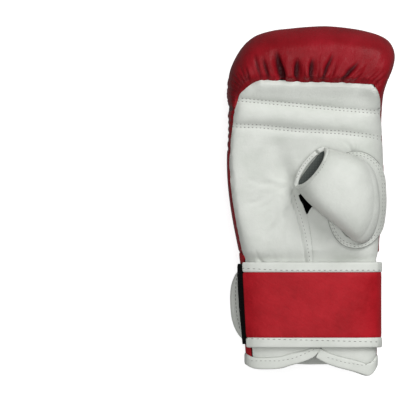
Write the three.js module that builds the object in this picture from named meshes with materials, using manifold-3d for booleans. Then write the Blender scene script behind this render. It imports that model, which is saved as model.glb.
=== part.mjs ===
// A right-hand bag glove: a padded punching mitt of red and white leather with an open-tipped
// thumb and a wrap-round wrist strap. It lies on its padded back, palm up.
// Millimetres. +Z is up, out of the palm. +Y runs to the fingertips, +X to the thumb side.
// The origin is on the flat of the padded back, in the middle of the glove's length.

import * as THREE from "three";
import { mergeVertices } from "three/addons/utils/BufferGeometryUtils.js";
import Module from "manifold-3d";

const wasm = await Module();
wasm.setup();

// Driving dimensions
const TINY = 1e-6;
const GAP = 0.35; // between two pieces that are sewn or pressed together
const SEAM_GAP = 0.95; // between the palm leather and the gathered red leather
const LEATHER = 1.8; // wall of the palm, the thumb and the cuff
const PAD_END_Y = -40; // where the foam of the back stops, at the wrist seam
const PALM_END_Y = -49.7; // where the palm leather stops, under the strap
const SPINE_TOP_Y = 75; // above it the outline's spokes fan out from one point
const WRIST_FOAM = 10; // thickness of the padded back at the wrist
const FINGER_FOAM = 22; // and under the fingertips
const FINGER_FLOOR_Y = 100;
const LINING_GAP = 0.8;
const LINING = 1.2;
const LINING_TOP = 0.92; // how far up the pad's inner side the lining reaches, as a share

// The padded back, one row for each spoke, from the pinky side of the wrist round the
// fingertips to the thumb side of the wrist. The seam is where the red leather meets the
// white palm, and the edge is the glove's outline.
// lift and swell: how steeply the red leather rises from the seam, and from the edge.
// tuck: how far in from the edge the back touches the table.
// lipIn and lipDown: the cut edge of the padding at the seam.
// pocket and floor: where the hollow for the hand turns down, and meets its floor,
// both outwards from the seam.
const SPOKES = table(
  "seamX seamY seamZ edgeX edgeY edgeZ lift swell tuck lipIn lipDown pocket floor",
  [
    [-50, -49.7, 33, -52.8, -49.7, 22, 2, 10, 24, 0, 3.5, -7, -14.6],
    [-50.2, -46, 34, -53, -46, 22, 2, 10, 24, 0, 3.5, -7, -14.6],
    [-51, -40, 38, -53.6, -40, 22, 2, 10, 24, 0, 3.5, -7, -14.8],
    [-56.4, -15, 42.5, -58.8, -15, 23, 2.5, 11, 26, 0, 3.5, -7.6, -15.4],
    [-60.4, 9, 45, -62.2, 9, 24, 3, 12, 28, 0, 3.5, -8, -16],
    [-61.4, 31, 46, -63.3, 31, 24, 3, 12, 28, 0, 3.5, -8, -16],
    [-60, 50, 46.5, -62.2, 51, 25, 3.5, 13, 28, 0, 3.5, -8, -16],
    [-57.6, 65, 47, -62.4, 69, 26, 6, 16, 29, 0, 3.5, -6, -15],
    [-55.2, 75.5, 49, -62, 82, 27, 9, 19, 30, 0, 3.5, -2, -13],
    [-52, 82.6, 51, -60.6, 93, 28, 12, 22, 32, 0, 3.5, 3, -9],
    [-48.2, 86.9, 52.6, -57.2, 106, 29, 15, 24, 34, 0, 3.5, 10, -4],
    [-43.6, 90.4, 54, -50.6, 118.5, 30, 17, 26, 37, 0, 3.5, 18, 1],
    [-37.5, 92.6, 54, -41.3, 126.6, 30.5, 18, 28, 39, 0, 3.5, 24, 4],
    [-25.2, 92.3, 54, -27.5, 130.6, 31, 19, 29, 40, 0, 3.5, 26, 5],
    [-13, 91.6, 54, -13.8, 132.2, 31, 19, 30, 41, 0, 3.5, 26, 5],
    [-0.8, 91.1, 54, 0, 133.4, 31, 19, 30, 41, 0, 3.5, 26, 5],
    [11.5, 91, 54, 13.8, 133.8, 31, 19, 30, 41, 0, 3.5, 26, 5],
    [23.7, 90.7, 54, 27.5, 132.7, 31, 19, 30, 41, 0, 3.5, 26, 5],
    [35.2, 90.2, 54, 41.3, 130.6, 31, 19, 30, 40, 0, 3.5, 24, 4],
    [43.6, 89.7, 53.6, 53.5, 127.2, 30.5, 18, 29, 38, 0, 3.5, 18, 1],
    [48.8, 88.5, 52.8, 61.2, 122.3, 30, 17, 28, 36, 0, 3.5, 10, -4],
    [52, 86, 51.4, 65, 113.5, 30, 15, 26, 34, 0, 3.5, 3, -9],
    [53.7, 82.8, 50, 63.8, 103.5, 29, 11, 22, 32, 0, 3.5, -1, -12],
    [54.6, 79.5, 48, 60, 93.5, 28, 7, 17, 30, 0, 3.5, -4, -14],
    [55.2, 75, 42, 56.5, 80, 27, 3, 10, 29, 1, 3, -7, -15],
    [55.8, 62, 24, 55, 62, 19, 0, 2, 28, 4, 0, -9, -16],
    [57, 45, 21, 56.2, 45, 17, 0, 2, 28, 4, 0, -9, -16],
    [57.7, 20, 21, 56.9, 20, 17, 0, 2, 28, 4, 0, -9, -16],
    [58.6, -3, 21, 57.8, -3, 17, 0, 2, 28, 4, 0, -9, -16],
    [56.8, -18, 21, 56, -18, 17, 0, 2, 27, 4, 0, -9, -16],
    [54.4, -28, 21, 53.6, -28, 17, 0, 2, 26, 4, 0, -8, -15],
    [54.4, -40, 21, 53.6, -40, 17, 0, 2, 24, 4, 0, -8, -15],
    [52, -46, 29, 54, -46, 17, 0, 2, 24, 4, 0, -8, -15],
    [51.8, -49.7, 30, 54, -49.7, 17, 0, 2, 24, 4, 0, -8, -15],
  ],
);
const PAD_FIRST = 2; // the pad runs between these spokes, the palm leather between all
const PAD_LAST = 31;
const PALM_CORNER_LEFT = 11.6;
const PALM_CORNER_RIGHT = 19.2;

// Gathers where the red leather is drawn in to the palm seam. at is the spoke, width is in
// spokes, reach is the share of the way from the seam to the edge, slant is in spokes.
const GATHERS = table("at width depth reach slant", [
  [7.2, 0.13, 1.2, 0.9, 0],
  [7.9, 0.13, 1.3, 0.9, 0],
  [8.6, 0.14, 1.6, 0.9, 0],
  [9.3, 0.14, 1.8, 0.9, 0],
  [10, 0.15, 2.2, 0.9, 0],
  [10.7, 0.16, 2.6, 0.9, -0.2],
  [11.55, 0.18, 4, 0.85, -0.5],
  [12.35, 0.17, 3.2, 0.6, -0.6],
  [13.25, 0.24, 7, 0.62, -0.7],
  [14.5, 0.22, 6.5, 0.5, 0],
  [15.45, 0.2, 6, 0.5, 0],
  [16.3, 0.2, 5.5, 0.6, 0.7],
  [16.95, 0.14, 2.6, 0.35, 0.3],
  [18.2, 0.24, 6, 0.5, 1.3],
  [19.6, 0.18, 2.4, 0.4, 1],
  [20.6, 0.16, 1.8, 0.45, 0.8],
  [21.7, 0.16, 1.6, 0.6, 0.4],
  [22.8, 0.18, 2, 0.9, 0],
  [23.6, 0.16, 1.6, 0.9, 0],
]);

// Height of the palm leather along the glove, and its dents and mounds.
const PALM_BASE = table("y z", [
  [-60, 44.5],
  [-38, 47],
  [-20, 48.5],
  [10, 49.5],
  [50, 50.5],
  [70, 51],
  [78, 52.6],
  [95, 57.6],
]);
const PALM_RELIEF = table("x y angle length width height", [
  [-22, 8, 70, 34, 20, -3.5], // cup of the palm
  [-15, 27, 55, 16, 7, -2.5], // dent beside the thumb's tip
  [-38, -24, 60, 22, 12, 1.8], // heel of the palm
  [34, -40, 0, 16, 6, 1.5], // thumb side above the strap
  [0, 82, 0, 60, 9, 1.2], // finger panel
]);
const FINGER_SEAM_Z = 49;
const PALM_PINCH = { from: -38.5, to: -45.8 }; // where the strap presses the palm in
const GRIP_BAR = { x: 0, y: 62.7, fall: -0.082, halfWidth: 8.6, height: 3.6 };

// Where the thumb goes through the palm, and what of it shows beside the thumb.
const THUMB_HOLE = table("x y", [
  [-8.3, 4.3],
  [-4.8, -3],
  [-1.6, -10.6],
  [1.4, -4.6],
  [13, -5],
  [24, -9],
  [33, -9],
  [36, 0],
  [32, 9],
  [20, 14],
  [7, 12],
  [-2, 8],
]);
const THUMB_HOLE_TOP = 55;

// The stitched patch that the thumb stands on.
const THUMB_PATCH = { x: 35.6, y: 1, halfX: 23, halfY: 37.2, squareness: 2.3, rim: 7 };

// The thumb, one row for each section from its open tip to its base. heel is the side that
// is sewn down, fold is the free side. rise: height of the top over the line between them.
// lean: how far the top's edge steps back from that line at the open tip, and under: how
// far the under side's edge stands forward.
const THUMB = table("heelX heelY foldX foldY rise foldLift lean under", [
  [11.5, 40.6, -10.6, 11.4, 15, 2.5, 5.5, 6],
  [19.6, 38.8, -6.4, 4, 18, 4, 2.4, 1],
  [28, 36.6, 2, -4.4, 19.5, 5, 1, 0],
  [37, 34, 11, -12.2, 19.5, 5, 0, 0],
  [45, 29.4, 21, -20, 18, 4.5, 0, 0],
  [50.4, 21, 29, -26.6, 15.5, 3.5, 0, 0],
  [53, 10.4, 34.8, -31.4, 12.5, 2.4, 0, 0],
  [54, -2.4, 40, -32.6, 9, 1.6, 0, 0],
  [53, -14, 45, -30.6, 5.5, 1.2, 0, 0],
  [50.8, -21, 48.6, -26.4, 2.6, 1, 0, 0],
]);
const THUMB_EDGE_X = 49.5; // beyond it the thumb keeps its height, over the palm's round side
const THUMB_LEATHER = 1.6;
const TIP_BINDING_WIDTH = 4;

// The wrist, a flattened tube. It narrows from the palm to the hem on the pinky side.
const WRIST = {
  pinkyTop: -52,
  pinkyHem: -48.7,
  thumb: 52,
  back: 6.9,
  palm: 43.3,
  squareness: 3.2,
  taperFrom: -50,
  taperTo: -110,
};
const SLIT_X = 9.2; // where the two flaps of the cuff meet on the palm side
const SLIT_GAP = 0.0018; // half the gap between sheets there, as a share of the way round
const CUFF_BORDER = { top: -51.4, hem: -43.6 }; // red back meets white flap

// The hem, one row for each bend, from the slit round the pinky side and the back to the
// thumb flap's end. y is its edge, and the inner point is where its binding starts.
const HEM = table("face x y innerX innerY", [
  ["palm", 9.2, -112.6, 0.8, -112.6],
  ["palm", 5.4, -117.4, -1.6, -113.8],
  ["palm", 0.8, -120.7, -4.4, -114.8],
  ["palm", -6.9, -123.5, -9.6, -116],
  ["palm", -14.5, -125.5, -16, -117.4],
  ["palm", -23.3, -128, -24, -119.7],
  ["palm", -36.9, -128.5, -36.9, -120.2],
  ["palm", -43.6, -127.6, -43.6, -119.6],
  ["palm", -48.4, -125, -48.4, -117],
  ["back", -40, -123.5, -40, -115.5],
  ["back", 0, -125.5, 0, -117.3],
  ["back", 40, -124.5, 40, -116.5],
  ["back", 51, -125, 51, -117],
  ["palm", 51.6, -127, 51.6, -119],
  ["palm", 48.8, -131.4, 48.8, -122.6],
  ["palm", 44.5, -133.6, 44.5, -124.6],
  ["palm", 35, -130.4, 35, -122],
  ["palm", 21, -126.8, 21, -118.6],
  ["palm", 12.2, -123.6, 13.5, -115.6],
  ["palm", 5.6, -119.8, 10.2, -113.4],
]);
const HEM_PINKY = 7; // rows of the hem where its flaps end
const HEM_THUMB = 13;
const HEM_BINDING = { inside: -2.6, outside: 0.8 };

// The strap, from its sewn end on the palm side round the thumb side to its round free end.
const STRAP = {
  top: -46.7,
  bottom: -111.9,
  thickness: 2.6,
  startX: -46.4,
  straightFromX: -30,
  endX: -57,
  roundLength: 26,
  binding: 7.6,
  bindingProud: 0.5,
};
const LOOP_PATCH = { top: -48.6, bottom: -109.5, palmX: -47.1, backX: -8, thickness: 2 };
const LABEL = { fromX: -21.4, toX: 29.6, top: -60.2, bottom: -99, thickness: 0.8 };
const SIZE_TAG = { fromX: -8.6, toX: 4.2, top: -112.4, bottom: -120.2, thickness: 0.7 };

// Shared geometry

// Rows of numbers as objects with named columns.
function table(names, rows) {
  const columns = names.split(" ");
  return rows.map((row) => Object.fromEntries(row.map((value, i) => [columns[i], value])));
}

function mix(a, b, share) {
  return a + (b - a) * share;
}

function smooth(value) {
  const t = Math.min(1, Math.max(0, value));
  return t * t * (3 - 2 * t);
}

// Value of a column between rows, on a smooth curve through its neighbours.
function between(rows, place, column) {
  const last = rows.length - 1;
  const i = Math.min(last - 1, Math.max(0, Math.floor(place)));
  const t = place - i;
  const [before, from, to, after] = [i - 1, i, i + 1, i + 2].map(
    (k) => rows[Math.min(last, Math.max(0, k))][column],
  );
  const leave = (to - before) / 2;
  const arrive = (after - from) / 2;
  return (
    from * (1 + 2 * t) * (1 - t) ** 2 +
    leave * t * (1 - t) ** 2 +
    to * t * t * (3 - 2 * t) +
    arrive * t * t * (t - 1)
  );
}

// A whole row between rows.
function rowAt(rows, place) {
  const numbers = Object.keys(rows[0]).filter((name) => typeof rows[0][name] === "number");
  return Object.fromEntries(numbers.map((name) => [name, between(rows, place, name)]));
}

// Value of one column where another column has a given value, by straight lines.
function lookUp(rows, key, wanted, column) {
  for (let i = 0; i < rows.length - 1; i++) {
    const [a, b] = [rows[i], rows[i + 1]];
    const share = (wanted - a[key]) / (b[key] - a[key]);
    if (share >= 0 && share <= 1) return mix(a[column], b[column], share);
  }
  const first = rows[0];
  const last = rows[rows.length - 1];
  return Math.abs(wanted - first[key]) < Math.abs(wanted - last[key]) ? first[column] : last[column];
}

function bezier(points, t) {
  let level = points;
  while (level.length > 1) {
    level = level.slice(1).map((p, i) => level[i].clone().lerp(p, t));
  }
  return level[0];
}

function toGeometry(vertices, triangles) {
  const geometry = new THREE.BufferGeometry();
  geometry.setAttribute("position", new THREE.Float32BufferAttribute(vertices, 3));
  geometry.setIndex(triangles);
  return geometry;
}

function toSolid(geometry) {
  const merged = mergeVertices(geometry, 1e-3);
  const index = merged.index.array;
  const kept = [];
  for (let i = 0; i < index.length; i += 3) {
    const [a, b, c] = [index[i], index[i + 1], index[i + 2]];
    if (a !== b && b !== c && c !== a) kept.push(a, b, c);
  }
  const mesh = (order) =>
    new wasm.Mesh({
      numProp: 3,
      vertProperties: merged.attributes.position.array,
      triVerts: new Uint32Array(order),
    });
  const solid = new wasm.Manifold(mesh(kept));
  return solid.volume() > 0 ? solid : new wasm.Manifold(mesh([...kept].reverse()));
}

function fromSolid(solid) {
  const mesh = solid.getMesh();
  return toGeometry([...mesh.vertProperties], [...mesh.triVerts]);
}

// Triangles of a grid of points numbered row by row.
function gridTriangles(columns, rows, first, turned) {
  const triangles = [];
  for (let i = 0; i < columns; i++) {
    for (let j = 0; j < rows; j++) {
      const a = first + i * (rows + 1) + j;
      const [b, c, d] = [a + rows + 1, a + rows + 2, a + 1];
      triangles.push(...(turned ? [a, c, b, a, d, c] : [a, b, c, a, c, d]));
    }
  }
  return triangles;
}

// A wall between two faces. pointAt(u, v, face) gives its points, with face 0 outside and
// 1 inside, and u and v from 0 to 1. A closed wall's u comes back to its start.
function wall(columns, rows, pointAt, closed = false) {
  const vertices = [];
  for (const face of [0, 1]) {
    for (let i = 0; i <= columns; i++) {
      for (let j = 0; j <= rows; j++) {
        vertices.push(...pointAt(i / columns, j / rows, face).toArray());
      }
    }
  }
  const inner = (columns + 1) * (rows + 1);
  const triangles = [
    ...gridTriangles(columns, rows, 0, false),
    ...gridTriangles(columns, rows, inner, true),
  ];
  const rim = (a, b) => triangles.push(a, b, b + inner, a, b + inner, a + inner);
  for (let i = 0; i < columns; i++) {
    rim((i + 1) * (rows + 1), i * (rows + 1));
    rim(i * (rows + 1) + rows, (i + 1) * (rows + 1) + rows);
  }
  if (!closed) {
    for (let j = 0; j < rows; j++) {
      rim(j, j + 1);
      rim(columns * (rows + 1) + j + 1, columns * (rows + 1) + j);
    }
  }
  return toSolid(toGeometry(vertices, triangles));
}

// A flat-topped prism over a closed outline of points with x and y.
function prism(outline, bottom, top) {
  const shape = new THREE.Shape(outline.map((p) => new THREE.Vector2(p.x, p.y)));
  const geometry = new THREE.ExtrudeGeometry(shape, { depth: top - bottom, bevelEnabled: false });
  geometry.translate(0, 0, bottom);
  geometry.deleteAttribute("normal");
  geometry.deleteAttribute("uv");
  return toSolid(geometry);
}

// The padded back

function floorZ(y) {
  const share = (y - PAD_END_Y) / (FINGER_FLOOR_Y - PAD_END_Y);
  return mix(WRIST_FOAM, FINGER_FOAM, share);
}

function spokeAt(place) {
  const s = rowAt(SPOKES, place);
  const seam = new THREE.Vector3(s.seamX, s.seamY, s.seamZ);
  const edge = new THREE.Vector3(s.edgeX, s.edgeY, s.edgeZ);
  const out = new THREE.Vector3(s.edgeX, s.edgeY - Math.min(s.edgeY, SPINE_TOP_Y), 0).normalize();
  return { ...s, seam, edge, out };
}

// How deep the gathers cut at a place, and share of the way from the seam to the edge.
function gatherDepth(place, share) {
  return GATHERS.reduce((sum, g) => {
    const away = (place - g.at - g.slant * share) / g.width;
    const fade = 1 - smooth(share / g.reach);
    const pinch = 0.35 + 0.65 * smooth(share / 0.16);
    return sum + g.depth * fade * pinch * Math.exp(-away * away);
  }, 0);
}

const UPPER_SHARE = 0.62; // of a spoke's outer line, the part above the edge
const SIDE_STEP = 0.8; // spokes between the pad's columns
const GATHER_STEP = 0.2; // and between those of the gathered leather
const GATHERED_FROM = 6.8;
const GATHERED_TO = 24;

// Outer face of the padding, v from the seam over the edge to the table.
function padOutside(place, v) {
  const s = spokeAt(place);
  const up = (z) => new THREE.Vector3(0, 0, z);
  if (v <= UPPER_SHARE) {
    const share = v / UPPER_SHARE;
    const reach = s.edge.distanceTo(s.seam);
    const rise = s.seam.clone().addScaledVector(s.out, 0.05 * reach).add(up(s.lift));
    const point = bezier([s.seam, rise, s.edge.clone().add(up(s.swell)), s.edge], share);
    const middle = s.edge.clone().addScaledVector(s.out, -Math.min(24, s.tuck));
    const inwards = middle.sub(point).normalize();
    return point.addScaledVector(inwards, gatherDepth(place, share) * smooth(share / 0.1));
  }
  const share = (v - UPPER_SHARE) / (1 - UPPER_SHARE);
  const foot = s.edge.clone().addScaledVector(s.out, -s.tuck).setZ(0);
  const roundFoot = foot.clone().addScaledVector(s.out, 0.55 * s.tuck);
  const belly = s.edge.clone().add(up(-0.6 * s.edgeZ));
  return bezier([s.edge, belly, roundFoot, foot], share);
}

// Face of the hollow for the hand, v from its floor up to the seam. inset is for the lining.
function padInside(place, v, inset = 0) {
  const s = spokeAt(place);
  const lip = s.seam.clone().addScaledVector(s.out, -s.lipIn - inset);
  lip.z -= s.lipDown + inset;
  const turn = s.seam.clone().addScaledVector(s.out, s.pocket - inset);
  turn.z = Math.min(floorZ(turn.y) + 4, lip.z) + inset;
  const foot = s.seam.clone().addScaledVector(s.out, s.floor);
  foot.z = floorZ(foot.y) + inset;
  return bezier([foot, turn, lip], v);
}

// Places of the pad's columns, closer together over the gathers.
function padPlaces(sideStep, gatherStep) {
  const places = [];
  let place = PAD_FIRST;
  while (place < PAD_LAST - TINY) {
    places.push(place);
    const gathered = place >= GATHERED_FROM - TINY && place < GATHERED_TO - TINY;
    place += gathered ? gatherStep : sideStep;
  }
  return [...places, PAD_LAST];
}

// Joins an outer and an inner face that both end in a flat floor into one solid.
function trough(places, outerLine, innerLine) {
  const lines = places.map((place) => [...outerLine(place), ...innerLine(place)]);
  const count = lines[0].length;
  const vertices = lines.flat().flatMap((p) => p.toArray());
  const triangles = gridTriangles(places.length - 1, count - 1, 0, false);
  const floor = (row, turned) => {
    const loop = lines.map((line) => new THREE.Vector2(line[row].x, line[row].y));
    for (const [a, b, c] of THREE.ShapeUtils.triangulateShape(loop, [])) {
      const corner = turned ? [a, c, b] : [a, b, c];
      triangles.push(...corner.map((i) => i * count + row));
    }
  };
  floor(0, false);
  floor(count - 1, true);
  const rows = Array.from({ length: count }, (_, row) => row);
  const last = (places.length - 1) * count;
  const section = [...rows, ...rows.map((row) => last + row).reverse()];
  const flat = section.map((i) => new THREE.Vector2(vertices[3 * i], vertices[3 * i + 2]));
  for (const [a, b, c] of THREE.ShapeUtils.triangulateShape(flat, [])) {
    triangles.push(section[a], section[c], section[b]);
  }
  return toSolid(toGeometry(vertices, triangles));
}

function line(count, pointAt) {
  return Array.from({ length: count + 1 }, (_, i) => pointAt(i / count));
}

function makeBackPad() {
  const rows = [1, 0.87, 0.74, UPPER_SHARE, 0.5, 0.38, 0.27, 0.18, 0.11, 0.05, 0];
  return trough(
    padPlaces(SIDE_STEP, GATHER_STEP),
    (place) => rows.map((v) => padOutside(place, v)),
    (place) => line(3, (v) => padInside(place, 1 - v)),
  );
}

function makeLining() {
  return trough(
    padPlaces(SIDE_STEP, SIDE_STEP),
    (place) => line(3, (v) => padInside(place, LINING_TOP * v, LINING_GAP)),
    (place) => line(3, (v) => padInside(place, LINING_TOP * (1 - v), LINING_GAP + LINING)),
  );
}

// The wrist tube

const MEAN_HALF = { x: 51, z: (WRIST.palm - WRIST.back) / 2 };
const wristCurve = new THREE.CatmullRomCurve3(
  Array.from({ length: 96 }, (_, i) => {
    const angle = (i / 96) * 2 * Math.PI;
    const power = 2 / WRIST.squareness;
    const along = (value) => Math.sign(value) * Math.abs(value) ** power;
    return new THREE.Vector3(
      MEAN_HALF.x * along(Math.cos(angle)),
      0,
      MEAN_HALF.z * along(Math.sin(angle)),
    );
  }),
  true,
);
wristCurve.arcLengthDivisions = 600;

// A point on the wrist, share of the way round from the thumb side over the palm side.
function onWrist(share, y, offset) {
  const mean = wristCurve.getPointAt(((share % 1) + 1) % 1);
  const narrow = (WRIST.taperFrom - y) / (WRIST.taperFrom - WRIST.taperTo);
  const pinky = mix(WRIST.pinkyTop, WRIST.pinkyHem, THREE.MathUtils.clamp(narrow, 0, 1));
  const half = (WRIST.thumb - pinky) / 2;
  return new THREE.Vector3(
    (WRIST.thumb + pinky) / 2 + (mean.x / MEAN_HALF.x) * (half + offset),
    y,
    (WRIST.palm + WRIST.back) / 2 + (mean.z / MEAN_HALF.z) * (MEAN_HALF.z + offset),
  );
}

// Share of the way round the wrist where a face has a given x.
function wristShare(face, x, y) {
  let [low, high] = face === "palm" ? [0, 0.5] : [1, 0.5];
  for (let step = 0; step < 30; step++) {
    const middle = (low + high) / 2;
    if (onWrist(middle, y, 0).x > x) low = middle;
    else high = middle;
  }
  return low;
}

function cuffBorderX(y) {
  return mix(CUFF_BORDER.top, CUFF_BORDER.hem, smooth((PALM_END_Y - y) / 62));
}

// The palm

const LEFT_SIDE = SPOKES.slice(0, 13);
const RIGHT_SIDE = SPOKES.slice(18);
const TOP_SIDE = SPOKES.slice(11, 20);

function quarterRound(t) {
  return t >= 1 ? 1 : Math.sqrt(Math.max(0, 1 - (1 - t) ** 2));
}

function palmRelief(x, y) {
  const mounds = PALM_RELIEF.reduce((sum, m) => {
    const angle = THREE.MathUtils.degToRad(m.angle);
    const [dx, dy] = [x - m.x, y - m.y];
    const along = (dx * Math.cos(angle) + dy * Math.sin(angle)) / m.length;
    const across = (dy * Math.cos(angle) - dx * Math.sin(angle)) / m.width;
    return sum + m.height * Math.exp(-along * along - across * across);
  }, 0);
  const fromBar = Math.abs(y - GRIP_BAR.y - GRIP_BAR.fall * (x - GRIP_BAR.x));
  const bar = Math.max(0, 1 - (fromBar / GRIP_BAR.halfWidth) ** 2);
  return mounds + GRIP_BAR.height * bar;
}

// Height of the palm leather's outer face.
function palmHeight(x, y) {
  const plateau = lookUp(PALM_BASE, "y", y, "z") + palmRelief(x, y);
  // The leather falls to its seam in a quarter round, a wider one where it falls further.
  const drop = (distance, seamZ) => {
    const fall = plateau - seamZ;
    const width = 4 + 0.75 * Math.abs(fall);
    return fall * (1 - quarterRound(Math.max(0, distance) / width));
  };
  const seamOf = (side, column) => lookUp(side, "seamY", y, column);
  const left = drop(x - seamOf(LEFT_SIDE, "seamX"), seamOf(LEFT_SIDE, "seamZ"));
  const right = drop(seamOf(RIGHT_SIDE, "seamX") - x, seamOf(RIGHT_SIDE, "seamZ"));
  const top = drop(lookUp(TOP_SIDE, "seamX", x, "seamY") - y, FINGER_SEAM_Z);
  const free = plateau - Math.max(left, right, top);
  const strapped = smooth((PALM_PINCH.from - y) / (PALM_PINCH.from - PALM_PINCH.to));
  if (strapped === 0) return free;
  return mix(free, onWrist(wristShare("palm", x, y), y, -0.1).z, strapped);
}

// Point of the palm leather's grid, u from the pinky side to the thumb side, v from the
// finger seam down to the wrist.
function palmGridPoint(u, v) {
  const left = rowAt(SPOKES, mix(PALM_CORNER_LEFT, 0, v));
  const rightPlace = mix(PALM_CORNER_RIGHT, SPOKES.length - 1, v);
  const right = rowAt(SPOKES, rightPlace);
  const top = spokeAt(mix(PALM_CORNER_LEFT, PALM_CORNER_RIGHT, u));
  const [cornerLeft, cornerRight] = [PALM_CORNER_LEFT, PALM_CORNER_RIGHT].map(spokeAt);
  const bowed = top.seam.clone().addScaledVector(top.out, -SEAM_GAP);
  const bow = bowed.sub(cornerLeft.seam.clone().lerp(cornerRight.seam, u));
  const fade = (1 - v) ** 6;
  const rightGap = mix(SEAM_GAP, 0.1, smooth((rightPlace - 23) / 1.5));
  const x = mix(left.seamX + GAP, right.seamX - rightGap, u) + bow.x * fade;
  const y = mix(left.seamY, right.seamY, u) + bow.y * fade;
  return new THREE.Vector3(x, y, palmHeight(x, y) + (u === 1 ? SEAM_GAP : 0));
}

function palmNormal(x, y) {
  const step = 0.8;
  const slopeX = palmHeight(x + step, y) - palmHeight(x - step, y);
  const slopeY = palmHeight(x, y + step) - palmHeight(x, y - step);
  return new THREE.Vector3(-slopeX, -slopeY, 2 * step).normalize();
}

function makePalmSheet() {
  // Columns and rows stand closer together near the rounded edges.
  const edgeSpacing = (t) => mix(t, (1 - Math.cos(Math.PI * t)) / 2, 0.75);
  const rowSpacing = (t) => t ** 1.15;
  return wall(18, 26, (i, j, face) => {
    const [u, v] = [edgeSpacing(i), rowSpacing(j)];
    const point = palmGridPoint(u, v);
    return face === 0 ? point : point.addScaledVector(palmNormal(point.x, point.y), -LEATHER);
  });
}

function smoothLoop(points, count) {
  const curve = new THREE.CatmullRomCurve3(
    points.map((p) => new THREE.Vector3(p.x, p.y, 0)),
    true,
    "centripetal",
  );
  return curve.getSpacedPoints(count).slice(0, count);
}

// The palm leather is cut in two along a seam from the thumb hole to the wrist slit, and
// from the hole to the thumb side under the thumb's patch.
function makePalmPieces() {
  const hole = prism(smoothLoop(THUMB_HOLE, 30), 10, 90);
  const sheet = makePalmSheet().subtract(hole);
  const seam = table("x y", [
    [-1.6, -10.6],
    [0, -20],
    [1.5, -30],
    [2.5, -40],
    [3, -60],
  ]);
  const beyond = 90;
  const lower = [
    ...seam.map((p) => ({ x: p.x + GAP, y: p.y })),
    { x: beyond, y: -60 },
    { x: beyond, y: -4 },
    { x: 34, y: -4 },
    { x: 20, y: 0 },
    { x: 0.5, y: -5 },
  ];
  const upper = [
    ...seam,
    { x: -beyond, y: -60 },
    { x: -beyond, y: 120 },
    { x: beyond, y: 120 },
    { x: beyond, y: -4 + GAP },
    { x: 34, y: -4 + GAP },
    { x: 20, y: GAP },
    { x: -2, y: -5 },
  ];
  return {
    palm: sheet.intersect(prism(upper, 10, 90)),
    gusset: sheet.intersect(prism(lower, 10, 90)),
    hole,
  };
}

// The thumb

function makeThumbPatch() {
  const outline = (share, inset) => {
    const angle = share * 2 * Math.PI;
    const power = 2 / THUMB_PATCH.squareness;
    const along = (value) => Math.sign(value) * Math.abs(value) ** power;
    return {
      x: THUMB_PATCH.x + (THUMB_PATCH.halfX - inset) * along(Math.cos(angle)),
      y: THUMB_PATCH.y + (THUMB_PATCH.halfY - inset) * along(Math.sin(angle)),
    };
  };
  const point = (u, v, face) => {
    const spot = outline(u, v * THUMB_PATCH.rim);
    const edgeX = lookUp(RIGHT_SIDE, "seamY", spot.y, "seamX");
    const x = Math.min(spot.x, edgeX - 0.5);
    const z = palmHeight(x, spot.y) + (face === 0 ? 2 : 0.9);
    // Round the thumb side it lies further out instead of higher.
    const outwards = smooth((x - 44) / 12) * (face === 0 ? 1.6 : 0.9);
    return new THREE.Vector3(x + outwards, spot.y, z);
  };
  return wall(44, 2, point, true);
}

// Loop of the thumb's section. turn goes from the heel over the top to the fold and back.
function thumbPoint(place, turn, inset) {
  const s = rowAt(THUMB, place);
  const angle = turn * 2 * Math.PI;
  const across = (1 - Math.cos(angle)) / 2;
  const height = Math.sin(angle);
  const length = Math.hypot(s.foldX - s.heelX, s.foldY - s.heelY);
  const side = new THREE.Vector3(s.heelY - s.foldY, s.foldX - s.heelX, 0).divideScalar(length);
  const margin = inset / length;
  const share = mix(margin, 1 - margin, across);
  const x = mix(s.heelX, s.foldX, share);
  const y = mix(s.heelY, s.foldY, share);
  const heelZ = palmHeight(Math.min(s.heelX, THUMB_EDGE_X), s.heelY) + 4;
  const foldZ = palmHeight(Math.min(s.foldX, THUMB_EDGE_X), s.foldY) + 2.6 + s.foldLift;
  const lineZ = mix(heelZ, foldZ, Math.max(0, share) ** 0.8);
  const point = new THREE.Vector3(x, y, lineZ);
  if (height >= 0) {
    point.z += Math.max(0, s.rise - inset) * height ** 0.85;
    return point.addScaledVector(side, s.lean * height);
  }
  const clear = lineZ - palmHeight(Math.min(x, THUMB_EDGE_X), y) - 2.6;
  point.z += Math.max(0, clear - inset) * height;
  return point.addScaledVector(side, s.under * height);
}

const TIP_PLACE = TIP_BINDING_WIDTH / 12;

function makeThumbSleeve(hole) {
  const last = THUMB.length - 1;
  const point = (u, v, face) => {
    const place = mix(TIP_PLACE + 0.12, last, v ** 0.9);
    return thumbPoint(place, u, face === 0 ? 0 : THUMB_LEATHER);
  };
  const tube = wall(24, 11, point, true);
  const passage = hole.intersect(prism([
    { x: 3, y: -40 },
    { x: 80, y: -40 },
    { x: 80, y: 60 },
    { x: 3, y: 60 },
  ], 20, THUMB_HOLE_TOP));
  return tube.subtract(passage);
}

function makeTipBinding() {
  const point = (u, v, face) => {
    return thumbPoint(mix(-0.02, TIP_PLACE, v), u, face === 0 ? -0.6 : 2.2);
  };
  return wall(26, 1, point, true);
}

// The cuff

// Hem rows with their shares of the way round, in one rising run from the slit.
const hemRun = HEM.map((row, i) => {
  const wrap = i >= HEM_THUMB ? 1 : 0;
  return {
    share: wristShare(row.face, row.x, row.y) + wrap,
    y: row.y,
    innerShare: wristShare(row.face, row.innerX, row.innerY) + wrap,
    innerY: row.innerY,
  };
});

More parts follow.
